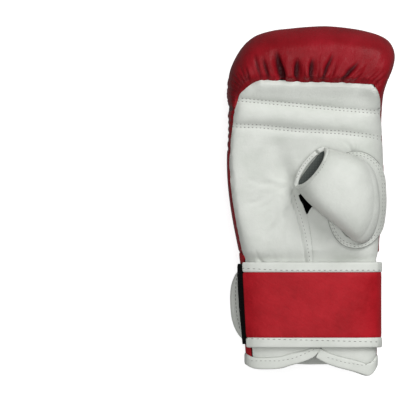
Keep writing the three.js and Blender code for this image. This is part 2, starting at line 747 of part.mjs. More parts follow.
// A sheet round the wrist from topY down to the hem. startAt and endAt give its borders.
function makeFlap(rows, topY, startAt, endAt, columns) {
  const last = rows.length - 1;
  return wall(columns, 3, (u, v, face) => {
    const place = u * last;
    const y = mix(topY, between(rows, place, "y") + 2 * GAP, v);
    const across = between(rows, place, "share") - rows[0].share;
    const progress = across / (rows[last].share - rows[0].share);
    return onWrist(mix(startAt(y), endAt(y), progress), y, face === 0 ? 0 : -LEATHER);
  });
}

function innerRows(from, to) {
  return hemRun.slice(from, to + 1).map((row) => ({ share: row.innerShare, y: row.innerY }));
}

function makePinkyFlap() {
  const slit = wristShare("palm", SLIT_X, -112) + SLIT_GAP;
  const rows = [{ share: slit, y: -112.6 }, ...innerRows(0, HEM_PINKY)];
  const border = (y) => wristShare("palm", cuffBorderX(y), y) - SLIT_GAP;
  return makeFlap(rows, PALM_END_Y - GAP, () => slit, border, 18);
}

function makeThumbFlap() {
  const slit = wristShare("palm", SLIT_X, -112) - SLIT_GAP + 1;
  const rows = [...innerRows(HEM_THUMB, HEM.length - 1), { share: slit, y: -113.2 }];
  const start = rows[0].share + SLIT_GAP;
  return makeFlap(rows, PALM_END_Y - GAP, () => start, () => slit, 16);
}

function makeCuffBack() {
  const rows = innerRows(HEM_PINKY, HEM_THUMB);
  const border = (y) => wristShare("palm", cuffBorderX(y), y) + SLIT_GAP;
  // On the thumb side its corner stays below the palm leather, above the strap.
  const whole = rows[rows.length - 1].share - SLIT_GAP;
  const corner = (y) => whole - 0.045 * (1 - smooth((PAD_END_Y - y) / 10));
  return makeFlap(rows, PAD_END_Y - GAP, border, corner, 34);
}

function makeHemBinding() {
  const last = hemRun.length - 1;
  return wall(3 * last, 1, (u, v, face) => {
    const place = u * last;
    const outer = [between(hemRun, place, "share"), between(hemRun, place, "y")];
    const inner = [between(hemRun, place, "innerShare"), between(hemRun, place, "innerY")];
    const offset = face === 0 ? HEM_BINDING.outside : HEM_BINDING.inside;
    return onWrist(mix(outer[0], inner[0], v), mix(outer[1], inner[1], v), offset);
  });
}

// The strap and what is on it

const MIDDLE_Y = (STRAP.top + STRAP.bottom) / 2;
const strapStart = wristShare("palm", STRAP.startX, MIDDLE_Y);
const strapTurn = wristShare("back", STRAP.straightFromX, MIDDLE_Y) - 1;
const wristLength = wristCurve.getLength();
const ROUND_PART = (strapStart - strapTurn) * wristLength;
const STRAIGHT_PART = STRAP.straightFromX - STRAP.endX;
const STRAP_LENGTH = ROUND_PART + STRAIGHT_PART;

// How far the strap stands off the cuff. It rides over the loop patch on the back.
function strapStandOff(length) {
  const patchStart = (strapStart - (wristShare("back", LOOP_PATCH.backX, MIDDLE_Y) - 1)) * wristLength;
  return mix(1, LOOP_PATCH.thickness + 1, smooth((length - patchStart + 24) / 20));
}

// A point on the strap, length along it from its sewn end.
function onStrap(length, y, offset) {
  const height = strapStandOff(length) + offset;
  const share = strapStart - Math.min(length, ROUND_PART) / wristLength;
  const point = onWrist(share, y, height);
  const straight = Math.max(0, length - ROUND_PART);
  point.x -= straight;
  point.z += 0.0016 * straight * straight;
  return point;
}

// Edge of the strap as length and y: along the top, round the free end, along the bottom.
// t is from -1, the sewn end's top corner, to 1, its bottom corner.
function strapEdge(t, inset) {
  const half = (STRAP.top - STRAP.bottom) / 2 - inset;
  const middle = (STRAP.top + STRAP.bottom) / 2;
  const straight = STRAP_LENGTH - STRAP.roundLength;
  const roundShare = 0.28;
  const sideShare = 1 - roundShare;
  const side = Math.sign(t) || 1;
  const along = Math.abs(t);
  if (along >= roundShare) {
    const length = straight * (1 - (along - roundShare) / sideShare);
    return { length, y: middle - side * half };
  }
  const angle = (along / roundShare) * (Math.PI / 2);
  const reach = STRAP.roundLength - inset;
  return {
    length: straight + reach * Math.cos(angle) ** 0.8,
    y: middle - side * half * Math.sin(angle) ** 0.8,
  };
}

function makeStrap() {
  return wall(52, 2, (u, v, face) => {
    const upper = strapEdge(-1 + u, STRAP.binding + GAP);
    const lower = strapEdge(1 - u, STRAP.binding + GAP);
    const length = mix(upper.length, lower.length, v);
    return onStrap(length, mix(upper.y, lower.y, v), face === 0 ? STRAP.thickness : 0);
  });
}

function makeStrapBinding() {
  return wall(92, 1, (u, v, face) => {
    const t = -1 + 2 * u;
    const outer = strapEdge(t, 0);
    const inner = strapEdge(t, STRAP.binding);
    const offset = face === 0 ? STRAP.thickness + STRAP.bindingProud : -0.1;
    return onStrap(mix(outer.length, inner.length, v), mix(outer.y, inner.y, v), offset);
  });
}

function makeLoopPatch() {
  const start = wristShare("palm", LOOP_PATCH.palmX, MIDDLE_Y);
  const end = wristShare("back", LOOP_PATCH.backX, MIDDLE_Y);
  return wall(20, 1, (u, v, face) => {
    const y = mix(LOOP_PATCH.top, LOOP_PATCH.bottom, v);
    return onWrist(mix(start, end, u), y, face === 0 ? LOOP_PATCH.thickness + GAP : GAP);
  });
}

function makeLabel() {
  const lengthAt = (x) => (strapStart - (wristShare("back", x, MIDDLE_Y) - 1)) * wristLength;
  const [from, to] = [lengthAt(LABEL.toX), lengthAt(LABEL.fromX)];
  return wall(6, 1, (u, v, face) => {
    const y = mix(LABEL.top, LABEL.bottom, v);
    const offset = STRAP.thickness + 0.3 + (face === 0 ? LABEL.thickness : 0);
    return onStrap(mix(from, to, u), y, offset);
  });
}

function makeSizeTag() {
  const [from, to] = [SIZE_TAG.fromX, SIZE_TAG.toX].map((x) => wristShare("back", x, -114));
  return wall(2, 2, (u, v, face) => {
    const y = mix(SIZE_TAG.top, SIZE_TAG.bottom, v);
    const lift = HEM_BINDING.outside + 0.3;
    return onWrist(mix(from, to, u), y, lift + (face === 0 ? SIZE_TAG.thickness : 0));
  });
}

// Assembly

const leather = (color) => new THREE.MeshStandardMaterial({ color, roughness: 0.45, metalness: 0 });
const fabric = (color) => new THREE.MeshStandardMaterial({ color, roughness: 0.95, metalness: 0 });
const redLeather = leather("#a51a23");
const whiteLeather = leather("#dcdedb");
const whiteBinding = leather("#cfd1cc");
const blackLoop = fabric("#141414");
const blackLining = fabric("#101113");
const darkLabel = fabric("#23241f");
const whiteTape = fabric("#dfe1dd");

const palmPieces = makePalmPieces();
const pieces = {
  back_pad: [makeBackPad(), redLeather],
  hand_lining: [makeLining(), blackLining],
  palm_panel: [palmPieces.palm, whiteLeather],
  thumb_gusset: [palmPieces.gusset, whiteLeather],
  thumb_patch: [makeThumbPatch(), whiteLeather],
  thumb_sleeve: [makeThumbSleeve(palmPieces.hole), whiteLeather],
  thumb_tip_binding: [makeTipBinding(), whiteBinding],
  cuff_back: [makeCuffBack(), redLeather],
  cuff_flap_pinky: [makePinkyFlap(), whiteLeather],
  cuff_flap_thumb: [makeThumbFlap(), whiteLeather],
  hem_binding: [makeHemBinding(), whiteBinding],
  strap: [makeStrap(), redLeather],
  strap_binding: [makeStrapBinding(), whiteBinding],
  loop_patch: [makeLoopPatch(), blackLoop],
  label_patch: [makeLabel(), darkLabel],
  size_tag: [makeSizeTag(), whiteTape],
};

const glove = new THREE.Group();
for (const [name, [solid, material]] of Object.entries(pieces)) {
  const mesh = new THREE.Mesh(fromSolid(solid), material);
  mesh.name = name;
  glove.add(mesh);
}

export default glove;
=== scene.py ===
# %% [markdown]
# # A punching glove in Blender
# The glove lies palm up on a pale floor: a red leather pad round the back of the hand and over
# the fingers, white leather on the palm and the thumb, a red closing strap with white edges, and
# a white cuff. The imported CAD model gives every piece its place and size. Each leather piece is
# cut from a copy of its own solid, rounded by subdivision, pressed into folds and sewn.

# %% Load the frame
import math

import bpy
import numpy as np
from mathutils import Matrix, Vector
from mathutils.bvhtree import BVHTree


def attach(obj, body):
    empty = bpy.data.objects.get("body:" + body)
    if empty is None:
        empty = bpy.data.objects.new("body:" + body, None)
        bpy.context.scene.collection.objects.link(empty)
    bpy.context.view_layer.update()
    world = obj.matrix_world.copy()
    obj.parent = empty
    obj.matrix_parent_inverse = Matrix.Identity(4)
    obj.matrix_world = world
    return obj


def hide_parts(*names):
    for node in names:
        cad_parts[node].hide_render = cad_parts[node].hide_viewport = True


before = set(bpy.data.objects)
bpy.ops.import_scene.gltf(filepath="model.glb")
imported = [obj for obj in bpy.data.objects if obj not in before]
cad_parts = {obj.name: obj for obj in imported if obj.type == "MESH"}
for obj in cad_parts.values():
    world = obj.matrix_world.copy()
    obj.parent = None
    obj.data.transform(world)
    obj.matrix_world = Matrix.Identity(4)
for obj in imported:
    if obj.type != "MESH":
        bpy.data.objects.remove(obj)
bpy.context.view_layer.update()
MM = 0.001
print("nodes", sorted(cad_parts))

# %% [markdown]
# An operator in Blender acts on whatever is selected, so one small helper selects a single piece.
# A second one adds a modifier and applies it at once, so that a finished piece is plain mesh.

# %% Pick a piece and finish it with a modifier


def pick(piece):
    """Selects this piece alone."""
    bpy.ops.object.select_all(action="DESELECT")
    piece.select_set(True)
    bpy.context.view_layer.objects.active = piece


def finish_with(piece, kind, **settings):
    """Adds one modifier to the piece and applies it."""
    pick(piece)
    modifier = piece.modifiers.new(kind.title(), kind)
    for name, value in settings.items():
        setattr(modifier, name, value)
    bpy.ops.object.modifier_apply(modifier=modifier.name)


# %% [markdown]
# Leather has thickness, and its cut edges are rounded, not sharp. A copy of the CAD solid is
# merged, its triangles are joined to four-sided faces, and its sharp edges get a crease. The
# subdivision then rounds the whole form and leaves a small soft radius along every edge.

# %% Cut a leather piece from its solid
SAME_POINT = 0.02 * MM
FLAT_PAIR = math.radians(50)
SHARP_EDGE = math.radians(48)


def cut_leather(node, name, levels, edge):
    """A piece from a copy of a CAD node: edge is how crisp its edges stay, from 0 to 1."""
    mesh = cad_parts[node].data.copy()
    mesh.name = name
    mesh.materials.clear()
    piece = bpy.data.objects.new(name, mesh)
    bpy.context.scene.collection.objects.link(piece)
    pick(piece)
    bpy.ops.object.mode_set(mode="EDIT")
    bpy.ops.mesh.select_all(action="SELECT")
    bpy.ops.mesh.customdata_custom_splitnormals_clear()
    bpy.ops.mesh.remove_doubles(threshold=SAME_POINT)
    bpy.ops.mesh.tris_convert_to_quads(face_threshold=FLAT_PAIR, shape_threshold=FLAT_PAIR)
    bpy.ops.mesh.select_all(action="DESELECT")
    bpy.ops.mesh.edges_select_sharp(sharpness=SHARP_EDGE)
    bpy.ops.transform.edge_crease(value=edge)
    bpy.ops.object.mode_set(mode="OBJECT")
    finish_with(piece, "SUBSURF", levels=levels, render_levels=levels)
    bpy.ops.object.shade_smooth()
    return piece


# %% [markdown]
# Folds, dents and sewn channels are pressed in by moving vertices near a bent line drawn in
# plan. Four helpers read the vertices in millimetres and the way they face, put them back, and
# measure how far each one lies from such a line. How deep a point was pressed is kept on the
# mesh as the attribute fold, which the leather reads later to paint shade into the valleys of
# folds: the deeper the fold, the darker its painted shade.

# %% Read, move and measure vertices


def corners(piece):
    """The piece's vertices in millimetres."""
    flat = np.empty(len(piece.data.vertices) * 3, np.float32)
    piece.data.vertices.foreach_get("co", flat)
    return flat.reshape(-1, 3).astype(float) / MM


def facing(piece):
    """The direction in which the surface faces at each vertex."""
    flat = np.empty(len(piece.data.vertices) * 3, np.float32)
    piece.data.vertices.foreach_get("normal", flat)
    return flat.reshape(-1, 3).astype(float)


def put(piece, places):
    """Moves the vertices to these places, in millimetres."""
    piece.data.vertices.foreach_set("co", (places * MM).astype(np.float32).ravel())
    piece.data.update()


def beside(places, line):
    """How far each place lies from a bent line in plan, and how far along it, from 0 to 1."""
    line = np.array(line, float)
    spans = np.diff(line, axis=0)
    lengths = np.hypot(spans[:, 0], spans[:, 1])
    gap = np.full(len(places), 1e9)
    share = np.zeros(len(places))
    done = 0.0
    for start, span, length in zip(line, spans, lengths):
        along = np.clip((places[:, :2] - start) @ span / length**2, 0, 1)
        off = places[:, :2] - start - along[:, None] * span
        distance = np.hypot(off[:, 0], off[:, 1])
        closer = distance < gap
        gap = np.where(closer, distance, gap)
        share = np.where(closer, (done + along * length) / lengths.sum(), share)
        done += length
    return gap, share


# %% [markdown]
# On the real glove a fold is where the leather has given way. A sculpt brush could draw it by
# hand. Here each fold is a line in plan with a width and a depth, so it can be placed and
# moved later. A thin wall would be pushed through itself, so a ray measures how thick it is first.

# %% Press folds into a piece
FACES_UP_FROM = -0.35  # how steeply the surface may lean and still be pressed
FACES_UP_FADE = 0.3
DEEP_FOLD = 0.6  # from here on, in millimetres, the wall's thickness is measured
WALL_SHARE = 0.55  # a fold goes no deeper than this share of the wall
RAY_START = 0.2 * MM


def note_fold(piece, depth):
    """Adds how deep each vertex was pressed, in millimetres, to the attribute fold, which the
    leather turns into painted shade.
    """
    held = piece.data.attributes.get("fold")
    if held is None:
        held = piece.data.attributes.new("fold", "FLOAT", "POINT")
    kept = np.zeros(len(piece.data.vertices), np.float32)
    held.data.foreach_get("value", kept)
    held.data.foreach_set("value", (kept + depth).astype(np.float32))


def press(piece, folds, straight_down=False, noted=True, below=False):
    """Presses folds in. Each is (line, half width, depth, start, end), start and end the depth's
    shares at the line's two ends; a negative depth raises a ridge. Noted folds get painted
    shade in the leather. Folds that lie below are pressed into the underside."""
    places = corners(piece)
    normal = facing(piece)
    way = np.tile([0.0, 0.0, 1.0], (len(places), 1)) if straight_down else normal
    height = -normal[:, 2] if below else normal[:, 2]
    reach = 1.0 if straight_down else np.clip((height - FACES_UP_FROM) / FACES_UP_FADE, 0, 1)
    total = np.zeros(len(places))
    for line, width, depth, start, end in folds:
        gap, share = beside(places, line)
        ends = start + (end - start) * share + (1 - max(start, end)) * 4 * share * (1 - share)
        total += depth * np.clip(ends, 0, 1) * np.exp(-((gap / width) ** 2))
    total *= reach
    if not straight_down:
        tree = BVHTree.FromObject(piece, bpy.context.evaluated_depsgraph_get())
        for index in np.nonzero(total > DEEP_FOLD)[0]:
            inwards = Vector(-normal[index])
            found = tree.ray_cast(Vector(places[index]) * MM + inwards * RAY_START, inwards)
            if found[0] is not None:
                total[index] = min(total[index], WALL_SHARE * found[3] / MM)
    put(piece, places - way * total[:, None])
    if noted:
        note_fold(piece, np.maximum(total, 0))


# %% [markdown]
# At a seam two pieces of leather are pulled together until no gap is left. The CAD model keeps a
# narrow gap between its solids, so the edge of one piece is drawn up to its neighbour here.

# %% Draw an edge up to its neighbour
SEAM_KEEP = 0.05  # what is left of a gap, in millimetres, so that no two faces coincide
FULL_PULL = 1.7  # above 1, so that narrow gaps close all the way


def draw_up(piece, neighbour, reach, rounds=3, spot=None):
    """Moves what lies within reach of the neighbour up to it, and smooths what has moved. A spot,
    (x, y, radius), holds this to one place in plan."""
    tree = BVHTree.FromObject(neighbour, bpy.context.evaluated_depsgraph_get())
    places = corners(piece)
    low, high = corners(neighbour).min(0) - reach, corners(neighbour).max(0) + reach
    near = ((places > low) & (places < high)).all(1)
    if spot:
        near &= np.hypot(places[:, 0] - spot[0], places[:, 1] - spot[1]) < spot[2]
    near = np.nonzero(near)[0]
    seam = piece.vertex_groups.new(name="seam")
    for index in near:
        found = tree.find_nearest(Vector(places[index]) * MM, reach * MM)
        if found[0] is None:
            continue
        target = np.array(found[0]) / MM
        gap = np.linalg.norm(target - places[index])
        if gap > SEAM_KEEP:
            part = float(np.clip(FULL_PULL * (reach - gap) / reach, 0, 1))
            places[index] += (target - places[index]) * (gap - SEAM_KEEP) / gap * part
            seam.add([int(index)], part, "REPLACE")
    put(piece, places)
    finish_with(piece, "SMOOTH", factor=0.5, iterations=rounds, vertex_group="seam")
    piece.vertex_groups.remove(piece.vertex_groups["seam"])


# %% [markdown]
# Every seam is a row of single stitches of thread. One stitch is modelled once, as a small
# sphere stretched along its length, and copied along the seam. The row is drawn in plan, seen
# from above or from below, and each stitch is laid where a ray meets the leather, so that it sits
# in the surface and turns with it. Blender numbers the sphere's points and faces differently from
# run to run, so they are put in a fixed order, and the same script always gives the same mesh.

# %% Model one stitch


def model_stitch():
    """One stitch, one unit long and one thick, as arrays of its vertices and faces."""
    bpy.ops.object.select_all(action="DESELECT")
    bpy.ops.mesh.primitive_uv_sphere_add(segments=6, ring_count=5, radius=0.5)
    sphere = bpy.context.active_object
    bpy.ops.object.mode_set(mode="EDIT")
    bpy.ops.mesh.select_all(action="SELECT")
    bpy.ops.transform.rotate(value=math.pi / 2, orient_axis="Y", center_override=(0, 0, 0))
    bpy.ops.object.mode_set(mode="OBJECT")
    points = np.array([vertex.co[:] for vertex in sphere.data.vertices])
    order = np.lexsort(points.round(4).T)
    rank = np.argsort(order)
    faces = []
    for polygon in sphere.data.polygons:
        loop = [int(rank[vertex]) for vertex in polygon.vertices]
        first = loop.index(min(loop))
        faces.append(tuple(loop[first:] + loop[:first]))
    bpy.data.objects.remove(sphere)
    return points[order], sorted(faces)


STITCH_POINTS, STITCH_FACES = model_stitch()
print("one stitch has", len(STITCH_FACES), "faces")

# %% Sew a row of stitches
ABOVE_ALL = 200.0
BELOW_ALL = -100.0


def paced(line, pitch):
    """Points along a bent line, one pitch apart."""
    line = np.array(line, float)
    steps = np.linalg.norm(np.diff(line, axis=0), axis=1)
    run = np.concatenate([[0], np.cumsum(steps)])
    count = max(2, round(run[-1] / pitch) + 1)
    wanted = np.linspace(0, run[-1], count)
    return np.stack([np.interp(wanted, run, line[:, axis]) for axis in range(line.shape[1])], 1)


def from_above(line, pitch):
    """Rays that look down at a line in plan."""
    return [((x, y, ABOVE_ALL), (0, 0, -1)) for x, y in paced(line, pitch)]


def from_below(line, pitch):
    """Rays that look up at a line in plan."""
    return [((x, y, BELOW_ALL), (0, 0, 1)) for x, y in paced(line, pitch)]


def sew(name, leather, rows, length=1.7, thick=0.55, sink=0.12, slot="white_leather", thread=None):
    """One piece of stitches on a leather piece: rows holds lists of rays, one ray a stitch."""
    tree = BVHTree.FromObject(leather, bpy.context.evaluated_depsgraph_get())
    points, faces = [], []
    for rays in rows:
        hits = []
        for origin, way in rays:
            place, normal, _, _ = tree.ray_cast(Vector(origin) * MM, Vector(way))
            if place is not None:
                hits.append((place / MM, normal if normal.dot(Vector(way)) < 0 else -normal))
        for index, (place, normal) in enumerate(hits):
            before = hits[max(index - 1, 0)][0]
            after = hits[min(index + 1, len(hits) - 1)][0]
            along = after - before
            along = (along - along.dot(normal) * normal).normalized()
            across = normal.cross(along)
            turn = np.array([along[:], across[:], normal[:]])
            stitch = (STITCH_POINTS * [length, thick, thick]) @ turn
            first = len(points) * len(STITCH_POINTS)
            points.append(stitch + np.array(place - normal * sink))
            faces += [tuple(first + corner for corner in face) for face in STITCH_FACES]
    mesh = bpy.data.meshes.new(name)
    mesh.from_pydata((np.concatenate(points) * MM).tolist(), [], faces)
    seam = bpy.data.objects.new(name, mesh)
    bpy.context.scene.collection.objects.link(seam)
    pick(seam)
    bpy.ops.object.shade_smooth()
    finished.append((seam, slot, thread))
    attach(seam, "root")
    print(name, len(points), "stitches")


finished = []

# %% [markdown]
# The red back of the glove is one thick pad. Its leather is pulled over the fingers and gathered
# into the edge of the palm, so deep folds fan out from that seam and fade on the round roll.
# A cloth simulation under pressure could swell such a pad, but its outline and gathers have set
# places here, so the solid is used. It is remeshed to even small faces first, because folds need
# fine and regular faces.

# %% Cut the padded back
PAD_VOXEL = 1.15 * MM
padded_back = cut_leather("back_pad", "padded_back", 2, 0.4)
finish_with(padded_back, "REMESH", mode="VOXEL", voxel_size=PAD_VOXEL, adaptivity=0)
finish_with(padded_back, "SMOOTH", factor=0.5, iterations=14)
print("padded back", len(padded_back.data.polygons), "faces")

# %% [markdown]
# Smoothing makes a round shape smaller. The roll over the fingers has lost some length and width
# by it, so its far parts are moved out again, more the further out they lie.

# %% Give the pad its size back
LOST_LENGTH = 1.6
LOST_WIDTH = 1.2
FAR_SIDE_FACTOR = 1.7  # the little finger's side has lost more than the thumb's side


def ramp(values, start, length):
    """Runs from 0 at the start to 1 at this length past it."""
    return np.clip((values - start) / length, 0, 1)


places = corners(padded_back)
tips = ramp(places[:, 1], 96.0, 37.0)
thumb_end = ramp(places[:, 0], 40.0, 24.0) * ramp(places[:, 1], 75.0, 20.0)
far_end = ramp(-places[:, 0], 36.0, 22.0) * ramp(places[:, 1], 55.0, 25.0)
places[:, 1] += LOST_LENGTH * tips**2
places[:, 0] += LOST_WIDTH * (thumb_end**2 - FAR_SIDE_FACTOR * far_end**2)
put(padded_back, places)
print("pad from", places.min(0).round(1), "to", places.max(0).round(1))

# %% [markdown]
# Where the wide leather of the roll is sewn to the shorter edge of the palm, the spare leather
# stands up between the stitches. Seven gathers are deep and have full puffs between them, and
# many more are fine. In these tables a fold is its line in plan from the roll to the seam, its
# half width, its depth, and the share of the depth at the line's two ends, in millimetres.

# %% Draw the gathers of the roll
ROLL_CREST = [([(-46, 114), (-20, 119), (20, 120.5), (52, 117)], 8.5, -3.4, 0.6, 0.8)]
SEAM_LIFT = [([(-44.0, 86.0), (-36.0, 92.0), (0.0, 93.5), (42.0, 92.0), (52.0, 84.0)],
              5.0, -5.2, 0.2, 0.4)]
MAIN_GATHERS = [
    ([(-43.1, 113.5), (-37.0, 92.5)], 1.7, 2.2, 0.0, 0.45),
    ([(-36.2, 110.6), (-31.4, 92.5)], 1.6, 2.2, 0.0, 0.45),
    ([(-26.0, 116.0), (-23.5, 104.0), (-20.3, 92.0)], 2.1, 4.0, 0.0, 0.5),
    ([(-9.3, 109.6), (-9.3, 92.0)], 1.8, 3.6, 0.0, 0.45),
    ([(2.0, 110.1), (1.5, 91.5)], 1.8, 3.6, 0.0, 0.45),
    ([(18.6, 113.2), (13.5, 102.0), (9.9, 91.2)], 1.7, 3.0, 0.0, 0.45),
    ([(38.0, 106.3), (30.0, 98.5), (24.5, 90.8)], 1.8, 3.2, 0.0, 0.45),
]
PUFFS = [
    ([(-32.0, 112.0), (-26.0, 95.0)], 2.6, -1.3, 0.0, 0.5),
    ([(-17.5, 112.0), (-15.0, 95.0)], 3.0, -1.5, 0.0, 0.5),
    ([(-3.6, 109.0), (-4.0, 95.0)], 2.6, -1.4, 0.0, 0.5),
    ([(9.5, 111.0), (5.8, 95.0)], 2.8, -1.4, 0.0, 0.5),
    ([(27.0, 110.0), (17.5, 95.0)], 3.6, -1.2, 0.0, 0.5),
    ([(44.0, 106.0), (33.0, 95.0)], 3.0, -0.8, 0.0, 0.5),
]
FINE_GATHERS = [
    ([(-31.5, 106.0), (-26.5, 93.0)], 1.0, 0.9, 0.0, 0.8),
    ([(-17.6, 107.0), (-14.6, 92.6)], 0.9, 0.7, 0.0, 0.8),
    ([(-5.0, 104.0), (-4.1, 92.4)], 0.9, 0.7, 0.0, 0.8),
    ([(7.5, 105.5), (5.6, 92.0)], 0.9, 0.8, 0.0, 0.8),
    ([(21.5, 105.0), (14.6, 91.8)], 1.0, 0.9, 0.0, 0.8),
    ([(27.0, 104.0), (19.6, 91.4)], 1.0, 0.9, 0.0, 0.8),
    ([(40.5, 101.0), (30.5, 91.2)], 1.0, 1.0, 0.0, 0.8),
    ([(45.5, 100.0), (34.5, 91.2)], 1.0, 1.0, 0.0, 0.8),
    ([(51.0, 100.5), (39.0, 91.2)], 1.0, 1.1, 0.0, 0.8),
    ([(56.0, 101.5), (44.0, 91.0)], 1.0, 1.1, 0.0, 0.8),
    ([(60.5, 102.5), (48.0, 90.6)], 1.0, 1.1, 0.0, 0.8),
    ([(63.0, 98.0), (51.0, 89.6)], 1.0, 1.0, 0.0, 0.8),
]


def stretch_lines(count=34):
    """Shallow lines where the leather is drawn down from the crest of the roll."""
    folds = []
    for index in range(count):
        x = -38 + 2.75 * index + 0.8 * math.sin(index * 1.7)
        top = 113 + 4.0 * math.sin(index * 2.1)
        folds.append(([(x * 1.12 + 0.5, top), (x * 0.95, 95.0)], 1.1, 0.3, 0.0, 0.6))
    return folds


def corner_gathers(count=13):
    """Fine folds that fan out round the little finger's corner of the palm."""
    folds = []
    centre = np.array([-40.0, 72.0])
    for index in range(count):
        angle = math.radians(107 + 6.6 * index)
        way = np.array([math.cos(angle), math.sin(angle)])
        reach = 13 + 3.0 * math.sin(index * 2.3)
        start = centre + way * (19.5 + 1.5 * math.cos(index * 0.5))
        folds.append(([tuple(start + way * reach), tuple(start)], 1.15, 1.9, 0.0, 0.8))
    return folds


SIDE_GATHERS = [([(-65.0, y + 3.5), (-60.5, y + 1.0), (-56.0, y - 1.0)], 1.3, 1.0, 0.5, 0.3)
                for y in (70.0, 65.5, 60.5, 56.0, 50.5, 45.0, 38.0)]
print("gathers", len(MAIN_GATHERS + FINE_GATHERS + SIDE_GATHERS) + len(corner_gathers()))

# %% Press the gathers of the roll
press(padded_back, ROLL_CREST + SEAM_LIFT, straight_down=True)
press(padded_back, PUFFS)
press(padded_back, MAIN_GATHERS)
press(padded_back, FINE_GATHERS)
press(padded_back, corner_gathers() + stretch_lines())
press(padded_back, SIDE_GATHERS)

# %% [markdown]
# Two double seams run down the back of the hand, and the pad is rounded off where it ends at the
# wrist. Both are on the underside as the glove lies here, so the seams are pressed from below.

# %% Press the seams of the back
BACK_SEAMS = [
    [(-49.3, 77.6), (-41.3, 12.6), (-34.7, 1.9), (-32.9, -37.0)],
    [(-45.4, 75.4), (-38.3, 12.6), (-31.4, 1.9), (-28.3, -37.0)],
    [(38.5, 110.5), (36.6, 87.6), (36.0, 57.8), (36.6, 8.0), (36.3, -37.0)],
    [(33.1, 110.5), (30.6, 87.6), (30.2, 57.8), (32.1, 8.0), (32.5, -37.0)],
]
press(padded_back, [(line, 1.3, 0.8, 0.8, 0.8) for line in BACK_SEAMS], noted=False, below=True)
finish_with(padded_back, "SMOOTH", factor=0.5, iterations=3)

# %% Round the pad's end at the wrist
PAD_END_Y = -41.0
END_LENGTH = 4.5
END_LIFT = 4.5
END_HEIGHT = 12.0
places = corners(padded_back)
near_end = np.exp(-(((places[:, 1] - PAD_END_Y) / END_LENGTH) ** 2))
places[:, 2] += END_LIFT * near_end * np.clip(1 - places[:, 2] / END_HEIGHT, 0, 1)
put(padded_back, places)
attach(padded_back, "root")
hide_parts("back_pad")
finished.append((padded_back, "red_leather", "pad"))

# %% Sew the back
sew("back_seam_stitches", padded_back, [from_below(line, 3.0) for line in BACK_SEAMS],
    length=1.9, thick=0.5, sink=0.05, slot="red_leather", thread="dark_red")

# %% [markdown]
# The white palm is one thin sheet of soft leather over a lightly padded bar that the fingers
# grip. Two double rows of stitches hold the bar. The thumb side is a second sheet with a folded
# edge that is sewn down on the palm sheet. Soft folds run from where the thumb pulls. A flat
# sheet could be draped, but the palm is held at every edge, so its own solid is shaped instead.

# %% Cut the palm and the thumb side
palm_leather = cut_leather("palm_panel", "palm_leather", 3, 0.7)
thumb_side = cut_leather("thumb_gusset", "thumb_side_leather", 3, 0.7)
BAR_TOP_ROWS = [
    [(-54.0, 78.5), (-6.9, 74.2), (23.7, 71.1), (55.5, 68.7)],
    [(-54.0, 76.2), (-6.9, 71.9), (23.7, 69.0), (56.0, 66.4)],
]
BAR_LOW_ROWS = [
    [(-58.3, 58.9), (-37.5, 58.1), (-6.9, 55.1), (23.7, 53.6), (46.7, 50.9), (58.1, 48.6)],
    [(-58.3, 56.6), (-37.5, 55.8), (-6.9, 52.8), (23.7, 51.3), (46.7, 48.6), (58.1, 46.3)],
]
print("palm", len(palm_leather.data.polygons), "faces")

# %% Draw the folds of the palm
PALM_FOLDS = [
    ([(-12.6, 11.5), (-22.2, 4.6), (-36.0, -10.7)], 1.9, -0.7, 1.0, 0.0),
    ([(-13.0, 10.0), (-20.5, 0.0), (-29.0, -14.0)], 1.5, 0.7, 1.0, 0.0),
    ([(-13.0, 13.0), (-24.0, 8.5), (-40.0, -2.0)], 1.7, 0.6, 1.0, 0.0),
    ([(-12.0, 16.0), (-22.0, 18.0), (-34.0, 14.0)], 2.6, 0.6, 1.0, 0.0),
    ([(-12.0, 5.0), (-17.0, -8.0), (-20.0, -26.0)], 2.0, 0.6, 0.7, 0.0),
    ([(-30.0, 46.0), (-40.0, 34.0), (-46.0, 20.0)], 4.0, 0.5, 0.0, 0.0),
    ([(33.5, 37.5), (29.0, 43.5), (25.0, 46.0)], 1.1, 1.1, 1.0, 0.0),
    ([(35.0, 37.5), (34.0, 47.0)], 1.0, 1.0, 1.0, 0.0),
    ([(36.5, 37.5), (40.0, 45.0)], 1.0, 0.9, 1.0, 0.0),
    ([(32.5, 37.0), (24.0, 40.0)], 1.0, 1.0, 1.0, 0.0),
    ([(38.0, 37.0), (46.0, 41.0)], 1.0, 0.8, 1.0, 0.0),
    ([(-41.5, -36.0), (-39.0, -43.0), (-35.0, -47.6)], 1.1, 0.9, 0.0, 0.9),
    ([(-45.0, -36.0), (-42.5, -43.0), (-40.0, -47.6)], 1.8, -0.7, 0.0, 0.9),
    ([(-28.0, -36.0), (-26.0, -47.6)], 1.8, 0.4, 0.0, 0.9),
    ([(-16.0, -34.0), (-17.0, -47.6)], 2.2, 0.4, 0.0, 0.9),
]
PINCH = np.array([-12.6, 11.5])


def pinch_fan(count=16):
    """Shallow folds that run out over the palm from where the thumb pulls at it."""
    folds = []
    for index in range(count):
        angle = math.radians(163 + 7.2 * index + 2.5 * math.sin(index * 2.7))
        way = np.array([math.cos(angle), math.sin(angle)])
        first = 5 + 9 * (index % 3)
        last = first + 17 + 7 * math.sin(index * 1.9)
        bend = np.array([-way[1], way[0]]) * 2.2 * math.sin(index * 1.3)
        line = [PINCH + way * first, PINCH + way * (first + last) / 2 + bend, PINCH + way * last]
        depth = (0.75 if index % 2 else -0.6) * (1 + 0.3 * math.sin(index * 3.1))
        folds.append(([tuple(point) for point in line], 1.5 + 0.4 * (index % 3), depth, 0.3, 0.0))
    return folds
